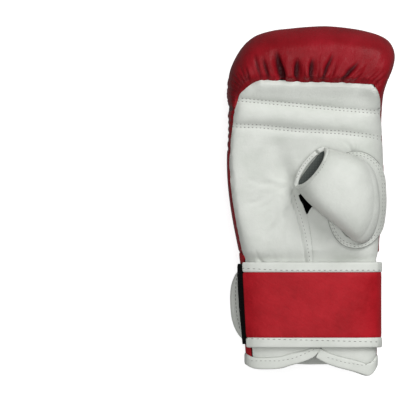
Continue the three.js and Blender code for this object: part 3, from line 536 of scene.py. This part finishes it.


# %% [markdown]
# The large forms come first: the padding that stands up under the fingers, the two channels of
# the grip bar and the hollow beside the thumb. They aren't noted as folds, so no painted shade
# is added over a form this soft. Then come the folds and the dents that the thread pulls.

# %% Press the palm
PALM_SHAPE = [
    ([(-36.0, 93.0), (0.0, 95.5), (40.0, 93.5), (50.0, 88.0)], 8.0, -8.6, 0.5, 0.6),
    ([(-56.0, 77.3), (-6.9, 73.0), (23.7, 70.0), (57.0, 67.5)], 3.2, 1.6, 0.6, 0.6),
    ([(-58.3, 57.7), (-37.5, 57.0), (-6.9, 54.0), (23.7, 52.4), (46.7, 49.7), (58.1, 47.4)],
     3.6, 1.8, 0.6, 0.6),
    ([(-13.0, 12.0), (-20.0, 24.0), (-24.0, 40.0)], 7.0, 5.2, 1.0, 0.3),
]
press(palm_leather, PALM_SHAPE, straight_down=True, noted=False)
press(palm_leather, PALM_FOLDS + pinch_fan(), straight_down=True)
SEAM_DENT = [(line, 0.8, 0.35, 1.0, 1.0) for line in BAR_TOP_ROWS + BAR_LOW_ROWS]
press(palm_leather, SEAM_DENT, straight_down=True)

# %% Press the folded edge and the thumb side
FOLDED_EDGE = [(-12.2, 9.9), (-14.5, 3.8), (-13.4, -0.8), (-9.3, -12.7), (-6.3, -24.5),
               (-3.4, -40.5), (-2.3, -48.0)]
press(palm_leather, [(FOLDED_EDGE, 0.65, 1.25, 0.9, 1.0),
                     ([(x + 3.3, y) for x, y in FOLDED_EDGE], 2.2, -0.55, 0.6, 1.0)],
      straight_down=True)
SIDE_FOLDS = [
    ([(8.0, 2.0), (2.0, -8.0), (-1.0, -20.0)], 1.6, 0.5, 1.0, 0.0),
    ([(10.0, -2.0), (6.0, -12.0), (4.0, -24.0)], 1.4, -0.5, 1.0, 0.0),
    ([(14.0, -30.0), (8.0, -36.0), (3.0, -44.0)], 2.0, 0.5, 1.0, 0.0),
]
press(thumb_side, SIDE_FOLDS, straight_down=True)

# %% [markdown]
# The palm and the pad are sewn edge to edge, so no daylight shows between them. The seam is
# closed all round, and again with a longer reach at the places where the gap is wider.

# %% Close the seams of the palm
PALM_CORNER = (54.5, 80.0, 9.0)
LITTLE_FINGER_SIDE = (-56.0, -6.0, 40.0)
THUMB_SIDE_SEAM = (64.0, 38.0, 34.0)
draw_up(padded_back, palm_leather, 4.0)
draw_up(padded_back, palm_leather, 7.0, spot=PALM_CORNER)
draw_up(palm_leather, padded_back, 3.2)
draw_up(palm_leather, padded_back, 4.0, spot=LITTLE_FINGER_SIDE)
draw_up(padded_back, palm_leather, 4.0, spot=LITTLE_FINGER_SIDE)
draw_up(palm_leather, padded_back, 5.0, rounds=1, spot=LITTLE_FINGER_SIDE)
draw_up(palm_leather, padded_back, 5.0, rounds=1, spot=THUMB_SIDE_SEAM)
draw_up(thumb_side, padded_back, 8.5, rounds=1)
draw_up(thumb_side, palm_leather, 1.2)
for piece, node in ((palm_leather, "palm_panel"), (thumb_side, "thumb_gusset")):
    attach(piece, "root")
    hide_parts(node)
    finished.append((piece, "white_leather", None))

# %% Sew the palm
sew("grip_bar_stitches", palm_leather,
    [from_above(line, 3.0) for line in BAR_TOP_ROWS + BAR_LOW_ROWS], length=1.5, thick=0.7,
    thread="grey")
EDGE_ROW = [(x + 3.1, y) for x, y in FOLDED_EDGE[1:]]
sew("folded_edge_stitches", palm_leather, [from_above(EDGE_ROW, 3.0)], length=1.5, thread="grey")

# %% [markdown]
# The thumb is a tube of the same white leather on an oval patch. The patch lies flat on the palm
# round the thumb's base, with two rows of stitches, and the tube's open end is bound. A tube
# could be made from a bent cylinder, but the solid has its bend already, and only needs the
# flatter top that a real thumb of stiff leather has.

# %% Shape the thumb
thumb_patch = cut_leather("thumb_patch", "thumb_patch_leather", 3, 0.6)
thumb_tube = cut_leather("thumb_sleeve", "thumb_tube_leather", 3, 0.6)
tip_binding = cut_leather("thumb_tip_binding", "thumb_tip_binding_leather", 3, 0.3)
THUMB_MIDDLE_Z = 58.0
THUMB_TOP_Z = 75.1
THUMB_FLATNESS = 1.6
for piece in (thumb_tube, tip_binding):
    places = corners(piece)
    height = np.clip((places[:, 2] - THUMB_MIDDLE_Z) / (THUMB_TOP_Z - THUMB_MIDDLE_Z), 0, 1)
    flatter = 1 - (1 - height) ** THUMB_FLATNESS
    places[:, 2] += (flatter - height) * (THUMB_TOP_Z - THUMB_MIDDLE_Z)
    put(piece, places)

# %% [markdown]
# The patch is cut and not folded, so its edge shows the darker core of the leather, and its
# darkening also stands for the shade along the patch's edge, as painted shade. Its outline is
# found by looking at the outermost vertex in each small angle round its middle. The fold
# attribute then darkens the leather within half a millimetre of it. Beyond the palm's round side
# the edge hangs down, out of sight, and is left as it is.

# %% Darken the patch's raw edge, partly with painted shade
PATCH_CENTRE = np.array([34.0, 0.0])
RIM_STEP = 5  # degrees
RAW_EDGE_WIDTH = 0.55
RAW_EDGE_AND_SHADE_TONE = 3.0  # as dark as a fold this deep, in millimetres
HANGS_DOWN_X = 54


def rim_line(piece, centre):
    """The outline of a flat piece in plan, as a closed line round a centre."""
    away = corners(piece)[:, :2] - centre
    turn = np.degrees(np.arctan2(away[:, 1], away[:, 0])) // RIM_STEP
    sizes = np.hypot(away[:, 0], away[:, 1])
    half_turn = 180 // RIM_STEP
    line = [away[turn == step][sizes[turn == step].argmax()] + centre
            for step in range(-half_turn, half_turn)]
    return line + line[:1]


PATCH_RIM = rim_line(thumb_patch, PATCH_CENTRE)
rim_gap = beside(corners(thumb_patch), PATCH_RIM)[0]
on_top = corners(thumb_patch)[:, 0] < HANGS_DOWN_X
# The raw edge is darkened in the fold's painted shade colour, for its darker core and for the
# shade along the edge.
note_fold(thumb_patch, RAW_EDGE_AND_SHADE_TONE * np.exp(-((rim_gap / RAW_EDGE_WIDTH) ** 2)) * on_top)
print("patch rim", len(PATCH_RIM) - 1, "points")

# %% Close the thumb's tip
BINDING_JOIN = [([(2.0, 41.0), (8.5, 34.5)], 1.0, 1.7, 1.0, 1.0)]
press(tip_binding, BINDING_JOIN, straight_down=True)
draw_up(tip_binding, thumb_tube, 1.8)
draw_up(thumb_tube, tip_binding, 1.2)
for piece, node, slot in (
    (thumb_patch, "thumb_patch", "white_leather"),
    (thumb_tube, "thumb_sleeve", "white_leather"),
    (tip_binding, "thumb_tip_binding", "white_binding"),
):
    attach(piece, "root")
    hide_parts(node)
    finished.append((piece, slot, None))

# %% Sew the thumb


def inset(line, distance):
    """A closed line moved towards the patch's centre, and evened out."""
    points = np.array(line[:-1])
    points = (np.roll(points, 1, 0) + 2 * points + np.roll(points, -1, 0)) / 4
    away = points - PATCH_CENTRE
    points -= distance * away / np.hypot(away[:, 0], away[:, 1])[:, None]
    return [tuple(point) for point in points] + [tuple(points[0])]


PATCH_ROWS = (1.4, 3.2)  # how far in from the rim
sew("thumb_patch_stitches", thumb_patch,
    [from_above(inset(PATCH_RIM, distance), 2.9) for distance in PATCH_ROWS], length=1.6,
    thread="grey")
TIP_ROW = [(15.4, 41.2), (14.3, 35.7), (11.5, 29.7), (9.1, 24.8), (4.7, 19.6), (-0.5, 15.5),
           (-6.2, 12.0), (-9.2, 10.9)]
sew("thumb_tip_stitches", thumb_tube, [from_above(TIP_ROW, 2.4)], length=1.4, thick=0.5,
    thread="grey")
FAR_LIP_ROW = [(-9.5, 18.3), (-7.3, 22.6), (-4.6, 27.0), (-1.3, 31.1), (2.0, 33.8)]
sew("thumb_far_lip_stitches", tip_binding, [from_above(FAR_LIP_ROW, 2.4)], length=1.4,
    thick=0.55, slot="white_binding", thread="grey")

# %% [markdown]
# The cuff is a back panel and two flaps that meet on the palm side, all bound at the wrist. The
# closing strap goes round it and ends in a rounded tab past the little finger's side. These are
# flat strips bent round the wrist, so one loop cuts them all in the same way, and only how crisp
# their edges stay differs: least for the folded bindings, most for the woven label and tag.

# %% Cut the cuff and the strap
CUFF_LEVELS = 3
CUFF_PARTS = [
    ("cuff_back", "cuff_back_leather", "red_leather", 0.7),
    ("cuff_flap_pinky", "cuff_flap_left_leather", "white_leather", 0.7),
    ("cuff_flap_thumb", "cuff_flap_right_leather", "white_leather", 0.7),
    ("hem_binding", "hem_binding_leather", "white_binding", 0.4),
    ("strap", "strap_leather", "red_leather", 0.7),
    ("strap_binding", "strap_binding_leather", "white_binding", 0.4),
    ("loop_patch", "loop_patch_fabric", "black_loop", 0.7),
    ("label_patch", "label_fabric", "dark_label", 0.8),
    ("size_tag", "tag_fabric", "white_tape", 0.8),
]
cuff = {}
for node, name, slot, edge in CUFF_PARTS:
    piece = cut_leather(node, name, CUFF_LEVELS, edge)
    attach(piece, "root")
    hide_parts(node)
    finished.append((piece, slot, None))
    cuff[node] = piece
    print(name, len(piece.data.polygons), "faces")

# %% [markdown]
# At the slit the bindings of the two flaps touch along a slanting line. In the solids a narrow
# wedge is left between them, so the right one is moved over to that line.

# %% Bring the bindings together at the slit
BINDINGS_MEET = np.array([(6.3, -120.5), (10.4, -112.8)])
WEDGE_START = -0.4
WEDGE_ENDS = (-3, 12)
WEDGE_ABOVE_Z = 32
WEDGE_WIDTH = 1.5
WEDGE_FADE = 2.5
places = corners(cuff["hem_binding"])
along = BINDINGS_MEET[1] - BINDINGS_MEET[0]
along /= np.hypot(*along)
off = places[:, :2] - BINDINGS_MEET[0]
to_right = off[:, 0] * along[1] - off[:, 1] * along[0]
lengthwise = off @ along
inside = (to_right > WEDGE_START) & (places[:, 2] > WEDGE_ABOVE_Z)
inside &= (lengthwise > WEDGE_ENDS[0]) & (lengthwise < WEDGE_ENDS[1])
closing = WEDGE_WIDTH * np.exp(-((np.maximum(to_right, 0) / WEDGE_FADE) ** 2)) * inside
places[:, 0] -= closing * along[1]
places[:, 1] += closing * along[0]
put(cuff["hem_binding"], places)
print("bindings moved by up to", round(float(closing.max()), 2), "mm")

# %% [markdown]
# The bindings are drawn up to the leather that they hold, and the cuff's back to the pad and, at
# the two sides of the wrist, to the thumb side and the palm. The loop patch swells a little past
# the strap, and the cuff's red edge flares out beside it.

# %% Close the seams of the cuff
for flap in ("cuff_flap_pinky", "cuff_flap_thumb", "cuff_back"):
    draw_up(cuff["hem_binding"], cuff[flap], 1.3)
    draw_up(cuff[flap], cuff["hem_binding"], 0.9)
LOOP_BULGE = [([(-53.0, -56.0), (-52.5, -84.0)], 12.0, -1.1, 0.8, 0.8)]
press(cuff["loop_patch"], LOOP_BULGE, noted=False)
draw_up(cuff["strap"], cuff["strap_binding"], 1.3)
draw_up(cuff["strap_binding"], cuff["strap"], 0.9)
draw_up(cuff["cuff_back"], padded_back, 1.5)
WRIST_THUMB_SIDE = (54.0, -45.0, 12.0)
WRIST_FAR_SIDE = (-52.0, -44.0, 12.0)
draw_up(cuff["cuff_back"], thumb_side, 10.0, rounds=1, spot=WRIST_THUMB_SIDE)
draw_up(thumb_side, cuff["cuff_back"], 6.0, rounds=1, spot=WRIST_THUMB_SIDE)
draw_up(cuff["cuff_back"], palm_leather, 10.0, rounds=1, spot=WRIST_FAR_SIDE)
draw_up(palm_leather, cuff["cuff_back"], 6.0, rounds=1, spot=WRIST_FAR_SIDE)
CUFF_FLARE = [([(-53.0, -40.0), (-52.0, -50.0)], 6.0, -1.7, 1.0, 0.4)]
press(cuff["cuff_back"], CUFF_FLARE, noted=False)

# %% [markdown]
# A strap that is pulled tight many times gets fine creases. They slant, because the hand pulls
# it round and down. They are shallow and soft, half of them dents and half of them ridges.

# %% Crease the strap


def strap_creases(count=26):
    """Fine slanting creases where the strap bends as it is pulled tight."""
    folds = []
    for index in range(count):
        x = -42 + 3.4 * index + 2.0 * math.sin(index * 2.3)
        y = -67 - 26 * (0.5 + 0.5 * math.sin(index * 1.7))
        length = 7 + 3 * math.sin(index * 2.9)
        line = [(x - length, y + 0.55 * length), (x, y + 0.7), (x + length, y - 0.6 * length)]
        folds.append((line, 1.1, 0.35 if index % 2 else -0.3, 0.0, 0.0))
    return folds


press(cuff["strap"], strap_creases(), noted=False)

# %% Sew the cuff and the strap
STRAP_TOP_ROW = [(-50.5, -51.3), (-20.7, -52.8), (8.4, -52.8), (53.5, -52.8)]
STRAP_LOW_ROW = [(-47.5, -105.0), (8.4, -106.3), (51.3, -107.6)]
TAB_ROW = [(-54.4, -54.0), (-55.9, -64.0), (-56.2, -75.0), (-55.2, -87.0), (-53.0, -97.0)]
sew("strap_binding_stitches", cuff["strap_binding"],
    [from_above(STRAP_TOP_ROW, 4.1), from_above(STRAP_LOW_ROW, 4.1), from_above(TAB_ROW, 3.0)],
    length=2.4, thick=0.6, slot="white_binding", thread="grey")
STRAP_BACK_ROW = [(53.0, -51.8), (-38.0, -51.8), (-45.0, -54.4), (-50.0, -58.6), (-54.0, -67.0),
                  (-55.7, -77.0), (-54.2, -87.0), (-50.0, -98.2), (-45.0, -103.4),
                  (-38.0, -106.2), (-20.0, -106.7), (53.0, -106.7)]
sew("strap_back_stitches", cuff["strap_binding"], [from_below(STRAP_BACK_ROW, 4.1)],
    length=2.4, thick=0.6, slot="white_binding", thread="grey")
LABEL_ROWS = [[(-23.9, -61.4), (31.3, -61.4), (31.3, -97.8), (-23.9, -97.8), (-23.9, -61.4)],
              [(-23.9, -63.4), (31.3, -63.4)]]
sew("label_stitches", cuff["label_patch"], [from_below(line, 1.9) for line in LABEL_ROWS],
    length=1.3, thick=0.4, slot="dark_label", thread="charcoal")
PAD_END_ROW = [(-46.0, -42.6), (48.0, -42.6)]
sew("pad_end_stitches", cuff["cuff_back"], [from_below(PAD_END_ROW, 3.0)],
    length=1.9, thick=0.5, slot="red_leather", thread="dark_red")
HEM_LEFT_ROW = [(-43.8, -122.0), (-23.3, -122.0), (-12.2, -120.1), (-4.6, -117.0), (3.0, -113.5)]
HEM_RIGHT_ROW = [(14.6, -119.6), (28.1, -123.4), (41.8, -125.5), (49.5, -122.4)]
sew("hem_binding_stitches", cuff["hem_binding"],
    [from_above(HEM_LEFT_ROW, 3.4), from_above(HEM_RIGHT_ROW, 3.4)],
    length=1.9, thick=0.5, slot="white_binding", thread="grey")

# %% [markdown]
# ## Finishes
# Colours are given as the hex values that a colour picker shows, and one function turns them to
# the linear values that Blender works in. One more adds a node with its settings and its links,
# and a third starts a material.

# %% Paint and nodes


def paint(code):
    """A hex colour as linear red, green, blue and alpha."""
    shares = [int(code[at:at + 2], 16) / 255 for at in (1, 3, 5)]
    linear = [s / 12.92 if s <= 0.04045 else ((s + 0.055) / 1.055) ** 2.4 for s in shares]
    return (*linear, 1.0)


def add(material, kind, inputs=None, **settings):
    """Adds one node. Inputs are named values, or another node's output to link."""
    made = material.node_tree.nodes.new("ShaderNode" + kind)
    for name, value in settings.items():
        setattr(made, name, value)
    for name, value in (inputs or {}).items():
        if isinstance(value, bpy.types.NodeSocket):
            material.node_tree.links.new(value, made.inputs[name])
        else:
            made.inputs[name].default_value = value
    return made


def blank(name):
    """A new material and its shader, with the place on the piece to read patterns from."""
    material = bpy.data.materials.new(name)
    material.use_nodes = True
    shader = material.node_tree.nodes["Principled BSDF"]
    place = add(material, "TexCoord").outputs["Object"]
    return material, shader, place


# %% [markdown]
# Boxing leather is full-grain cowhide, coloured on its grain side by a thin coat of pigment. It
# has a fine pebbled grain, a soft broad shine, and slightly uneven colour. Painted shade darkens
# the valleys of its folds, where the light meets the pigment many times. Gathers and folds are
# in the mesh. The grain and the finest creases are too fine for it, and are bump.

# %% Leather
CLOUD_SCALE = 38.0  # uneven dye, in patches of about 26 mm
CREASE_SCALE = 110.0  # fine creases, about 9 mm apart
LEATHER_IOR = 1.5


def leather(name, colour, deep, light, fold_shade_colour, grain, roughness, shine, grain_height,
            crease_height, pull=(1.0, 1.0, 1.0), slant=0.0):
    """Dyed leather. Grain is the width of one pebble of the hide, in millimetres. Pull is how
    much finer its creases are along each axis, and slant turns them, in degrees."""
    material, shader, place = blank(name)
    pulled = add(material, "Mapping", {"Vector": place, "Scale": [1 / finer for finer in pull],
                                       "Rotation": (0.0, 0.0, math.radians(slant))},
                 vector_type="TEXTURE")
    links = material.node_tree.links
    cloud = add(material, "TexNoise", {"Vector": place, "Scale": CLOUD_SCALE, "Detail": 4.0,
                                       "Roughness": 0.6})
    tone = add(material, "ValToRGB", {"Fac": cloud.outputs["Fac"]})
    tone.color_ramp.elements[0].position = 0.3
    tone.color_ramp.elements[0].color = paint(deep)
    tone.color_ramp.elements[1].position = 0.72
    tone.color_ramp.elements[1].color = paint(light)
    middle = tone.color_ramp.elements.new(0.5)
    middle.color = paint(colour)
    # Painted shade: the deeper a point was pressed into a fold, the nearer its colour comes to the
    # fold shade colour.
    fold = add(material, "Attribute", attribute_name="fold")
    share = add(material, "MapRange", {"Value": fold.outputs["Fac"], "From Min": 0.2,
                                       "From Max": 2.5, "To Min": 0.0, "To Max": 1.0},
                interpolation_type="SMOOTHSTEP")
    mixed = add(material, "Mix", {0: share.outputs["Result"]}, data_type="RGBA")
    links.new(tone.outputs["Color"], mixed.inputs[6])
    mixed.inputs[7].default_value = paint(fold_shade_colour)
    links.new(mixed.outputs[2], shader.inputs["Base Color"])
    pebbles = add(material, "TexVoronoi", {"Vector": place, "Scale": 1000.0 / grain,
                                           "Randomness": 1.0}, feature="SMOOTH_F1")
    creases = add(material, "TexNoise", {"Vector": pulled.outputs["Vector"],
                                         "Scale": CREASE_SCALE, "Detail": 5.0,
                                         "Roughness": 0.65, "Distortion": 0.6})
    fine = add(material, "Bump", {"Height": pebbles.outputs["Distance"], "Strength": 0.55,
                                  "Distance": grain_height * MM}, invert=True)
    broad = add(material, "Bump", {"Height": creases.outputs["Fac"], "Strength": 0.6,
                                   "Distance": crease_height * MM,
                                   "Normal": fine.outputs["Normal"]})
    links.new(broad.outputs["Normal"], shader.inputs["Normal"])
    polish = add(material, "MapRange", {"Value": creases.outputs["Fac"], "From Min": 0.3,
                                        "From Max": 0.7, "To Min": roughness - 0.05,
                                        "To Max": roughness + 0.07})
    links.new(polish.outputs["Result"], shader.inputs["Roughness"])
    shader.inputs["IOR"].default_value = LEATHER_IOR
    shader.inputs["Specular IOR Level"].default_value = shine
    return material


# %% [markdown]
# There are four leathers. The strap's red is brighter and creased along a slant, the pad's red is
# deeper, partly as painted shade over the roll, and smoother and creased down from the crest, the
# palm's white is matt, and the bindings are the same white stretched smooth. The colours were
# matched to the real ones.

# %% The four leathers
# The fourth colour given to each leather is the painted shade of its fold valleys.
red_leather = leather("pigmented_red_cowhide", "#9e131e", "#8f0d17", "#a91924", "#3a0a10",
                      1.5, 0.5, 0.12, 0.2, 0.65, pull=(1.3, 4.0, 1.0), slant=-32.0)
# The pad's reds are darker than the strap's, in part as painted shade over the roll.
pad_leather = leather("deep_red_pad_cowhide_with_painted_shade", "#800e18", "#6f0912", "#8c131f", "#3a070d",
                      1.5, 0.42, 0.14, 0.2, 0.55, pull=(4.0, 1.0, 1.0))
white_leather = leather("pigmented_white_cowhide", "#c7cac4", "#bfc3bc", "#ced1cb", "#878a84",
                        1.4, 0.6, 0.3, 0.12, 0.6, pull=(1.0, 2.2, 1.0), slant=38.0)
white_binding = leather("folded_white_leather_binding", "#c7cac4", "#bfc3bc", "#ced1cb",
                        "#878a84", 1.2, 0.55, 0.35, 0.1, 0.3)

# %% [markdown]
# The rest is textile: a black knitted lining, the loop side of a hook and loop closure, a dark
# woven label, a white tape tag, and polyester thread. Two sets of bands cross to make the weave,
# at the spacing of the real threads or somewhat coarser, so that it can show in the render.

# %% Cloth and thread
WAVE_SCALE = 314.0 / 2  # here a wave is 2 mm long: one raised and one sunk thread of 1 mm


def cloth(name, colour, other, thread, height, roughness, sheen):
    """Woven or knitted cloth. Thread is the spacing of its threads, in millimetres."""
    material, shader, place = blank(name)
    links = material.node_tree.links
    waves = []
    for axis in ("X", "Y"):
        waves.append(add(material, "TexWave", {"Vector": place, "Scale": WAVE_SCALE / thread,
                                               "Distortion": 0.6, "Detail": 1.0},
                         wave_type="BANDS", bands_direction=axis))
    weave = add(material, "Math", {0: waves[0].outputs["Fac"], 1: waves[1].outputs["Fac"]},
                operation="MULTIPLY")
    mixed = add(material, "Mix", {0: weave.outputs[0]}, data_type="RGBA")
    mixed.inputs[6].default_value = paint(other)
    mixed.inputs[7].default_value = paint(colour)
    links.new(mixed.outputs[2], shader.inputs["Base Color"])
    bump = add(material, "Bump", {"Height": weave.outputs[0], "Strength": 0.6,
                                  "Distance": height * MM})
    links.new(bump.outputs["Normal"], shader.inputs["Normal"])
    shader.inputs["Roughness"].default_value = roughness
    shader.inputs["Sheen Weight"].default_value = sheen
    shader.inputs["Specular IOR Level"].default_value = 0.1
    return material


FINISHES = {
    "red_leather": red_leather,
    "pad": pad_leather,
    "white_leather": white_leather,
    "white_binding": white_binding,
    "black_lining": cloth("knitted_nylon_lining", "#1a1b1b", "#0e0e0e", 0.9, 0.2, 0.9, 0.1),
    "black_loop": cloth("brushed_loop_pile", "#0e0e0e", "#070707", 1.1, 0.5, 1.0, 0.0),
    "dark_label": cloth("woven_satin_label", "#29292a", "#1c1c1d", 0.6, 0.1, 0.5, 0.0),
    "white_tape": cloth("woven_cotton_tape", "#e8e8e4", "#d2d2cc", 0.6, 0.12, 0.8, 0.1),
    # This thread's grey is painted shade for the holes and groove that the thread sinks into.
    "grey": cloth("polyester_thread_greyed_as_painted_shade", "#7f7e7a", "#666561", 0.4, 0.08, 0.6, 0.0),
    "charcoal": cloth("charcoal_polyester_thread", "#55564f", "#3e3f3a", 0.4, 0.08, 0.6, 0.0),
    "dark_red": cloth("dark_red_polyester_thread", "#6e1219", "#4e0c12", 0.4, 0.08, 0.6, 0.0),
}
print("finishes", len(FINISHES))

# %% Put the finishes on
for piece, slot, special in finished:
    piece.data.materials.append(FINISHES[special or slot])
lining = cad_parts["hand_lining"]
for held in lining.material_slots:
    held.material = FINISHES["black_lining"]
print("dressed", len(finished), "pieces and the lining")

# %% [markdown]
# Inside the thumb the rough flesh side of the leather shows, without a finish, and its dark grey
# is partly painted shade for the hollow tube. Its inner faces are those near the tip that look
# towards the thumb's axis. The cuff's back is lined, so its inner faces, which look towards the
# middle of the wrist, get the black knit.

# %% Line the thumb and the cuff
# Dark grey, partly the flesh side's own colour and partly painted shade inside the hollow thumb.
flesh_and_painted_shade = cloth("undyed_leather_flesh_and_painted_shade", "#585d5a", "#4a4f4c", 1.0, 0.1, 0.9, 0.1)
thumb_tube.data.materials.append(flesh_and_painted_shade)
inner_faces = 0
THUMB_TIP = Vector((3.0, 25.5, 61.0)) * MM
THUMB_WAY = (Vector((34.0, 2.0, 60.0)) * MM - THUMB_TIP).normalized()
THUMB_LENGTH = 26.0 * MM
for polygon in thumb_tube.data.polygons:
    from_tip = polygon.center - THUMB_TIP
    from_axis = from_tip - from_tip.dot(THUMB_WAY) * THUMB_WAY
    if polygon.normal.dot(from_axis) < 0 and from_tip.dot(THUMB_WAY) < THUMB_LENGTH:
        polygon.material_index = 1
        inner_faces += 1
print("inner faces of the thumb", inner_faces)

cuff["cuff_back"].data.materials.append(FINISHES["black_lining"])
WRIST_MIDDLE = Vector((0.0, 0.0, 25.0)) * MM
for polygon in cuff["cuff_back"].data.polygons:
    from_middle = polygon.center - WRIST_MIDDLE
    from_middle.y = 0
    if polygon.normal.dot(from_middle) < 0:
        polygon.material_index = 1

# %% [markdown]
# ## Studio
# The glove lies on a white table that glows a little, so that it stays white and keeps no hard
# shadow. A large soft light stands on the thumb's side, towards the fingertips, and a weaker one
# hangs overhead. The camera looks straight down through a long lens.

# %% Floor
FLOOR_GLOW = 0.65
bpy.ops.object.select_all(action="DESELECT")
bpy.ops.mesh.primitive_plane_add(size=8.0, location=(0, 0, 0))
floor = bpy.context.active_object
floor.name = "studio_floor"
floor_paint, floor_shader = blank("backlit_white_acrylic_table")[:2]
floor_shader.inputs["Base Color"].default_value = paint("#d8d8d8")
floor_shader.inputs["Roughness"].default_value = 0.9
floor_shader.inputs["Specular IOR Level"].default_value = 0.1
floor_shader.inputs["Emission Color"].default_value = paint("#ffffff")
floor_shader.inputs["Emission Strength"].default_value = FLOOR_GLOW
floor.data.materials.append(floor_paint)
# Its glow would wash out the glove's edges from below and be mirrored in the red leather.
floor.visible_diffuse = False
floor.visible_glossy = False

# %% Lights
WORLD_STRENGTH = 0.24
GLOVE_MIDDLE = (0, 0, 0.03)
world = bpy.data.worlds.new("pale_studio")
bpy.context.scene.world = world
world.use_nodes = True
background = world.node_tree.nodes["Background"]
background.inputs["Color"].default_value = (1, 1, 1, 1)
background.inputs["Strength"].default_value = WORLD_STRENGTH


def light(name, place, aim, size, watts):
    """A square soft light at a place, turned towards a point, both in metres."""
    lamp = bpy.data.lights.new(name, "AREA")
    lamp.size = size
    lamp.energy = watts
    holder = bpy.data.objects.new(name, lamp)
    holder.location = place
    holder.rotation_euler = (Vector(aim) - Vector(place)).to_track_quat("-Z", "Y").to_euler()
    holder.visible_camera = False
    bpy.context.scene.collection.objects.link(holder)


light("upper_right_soft_light", (0.8, 0.98, 1.2), GLOVE_MIDDLE, size=1.1, watts=24)
light("overhead_fill_light", (-0.2, -0.2, 1.6), GLOVE_MIDDLE, size=1.2, watts=13)

# %% [markdown]
# A long lens from far away shows the glove almost without perspective. The distance follows from
# the width of the view at about half the glove's height. The view's middle lies left of the glove.

# %% Camera
LENS = 700.0
SENSOR = 36.0
VIEW_WIDTH = 0.306  # metres
VIEW_CENTRE = (-0.0834, 0.0008)
MIDDLE_HEIGHT = 0.03
camera_data = bpy.data.cameras.new("overhead_camera")
camera_data.lens = LENS
camera_data.sensor_width = SENSOR
camera_data.clip_end = 50.0
camera = bpy.data.objects.new("overhead_camera", camera_data)
camera.location = (*VIEW_CENTRE, MIDDLE_HEIGHT + VIEW_WIDTH * LENS / SENSOR)
bpy.context.scene.collection.objects.link(camera)
bpy.context.scene.camera = camera
bpy.context.scene.view_settings.view_transform = "Standard"
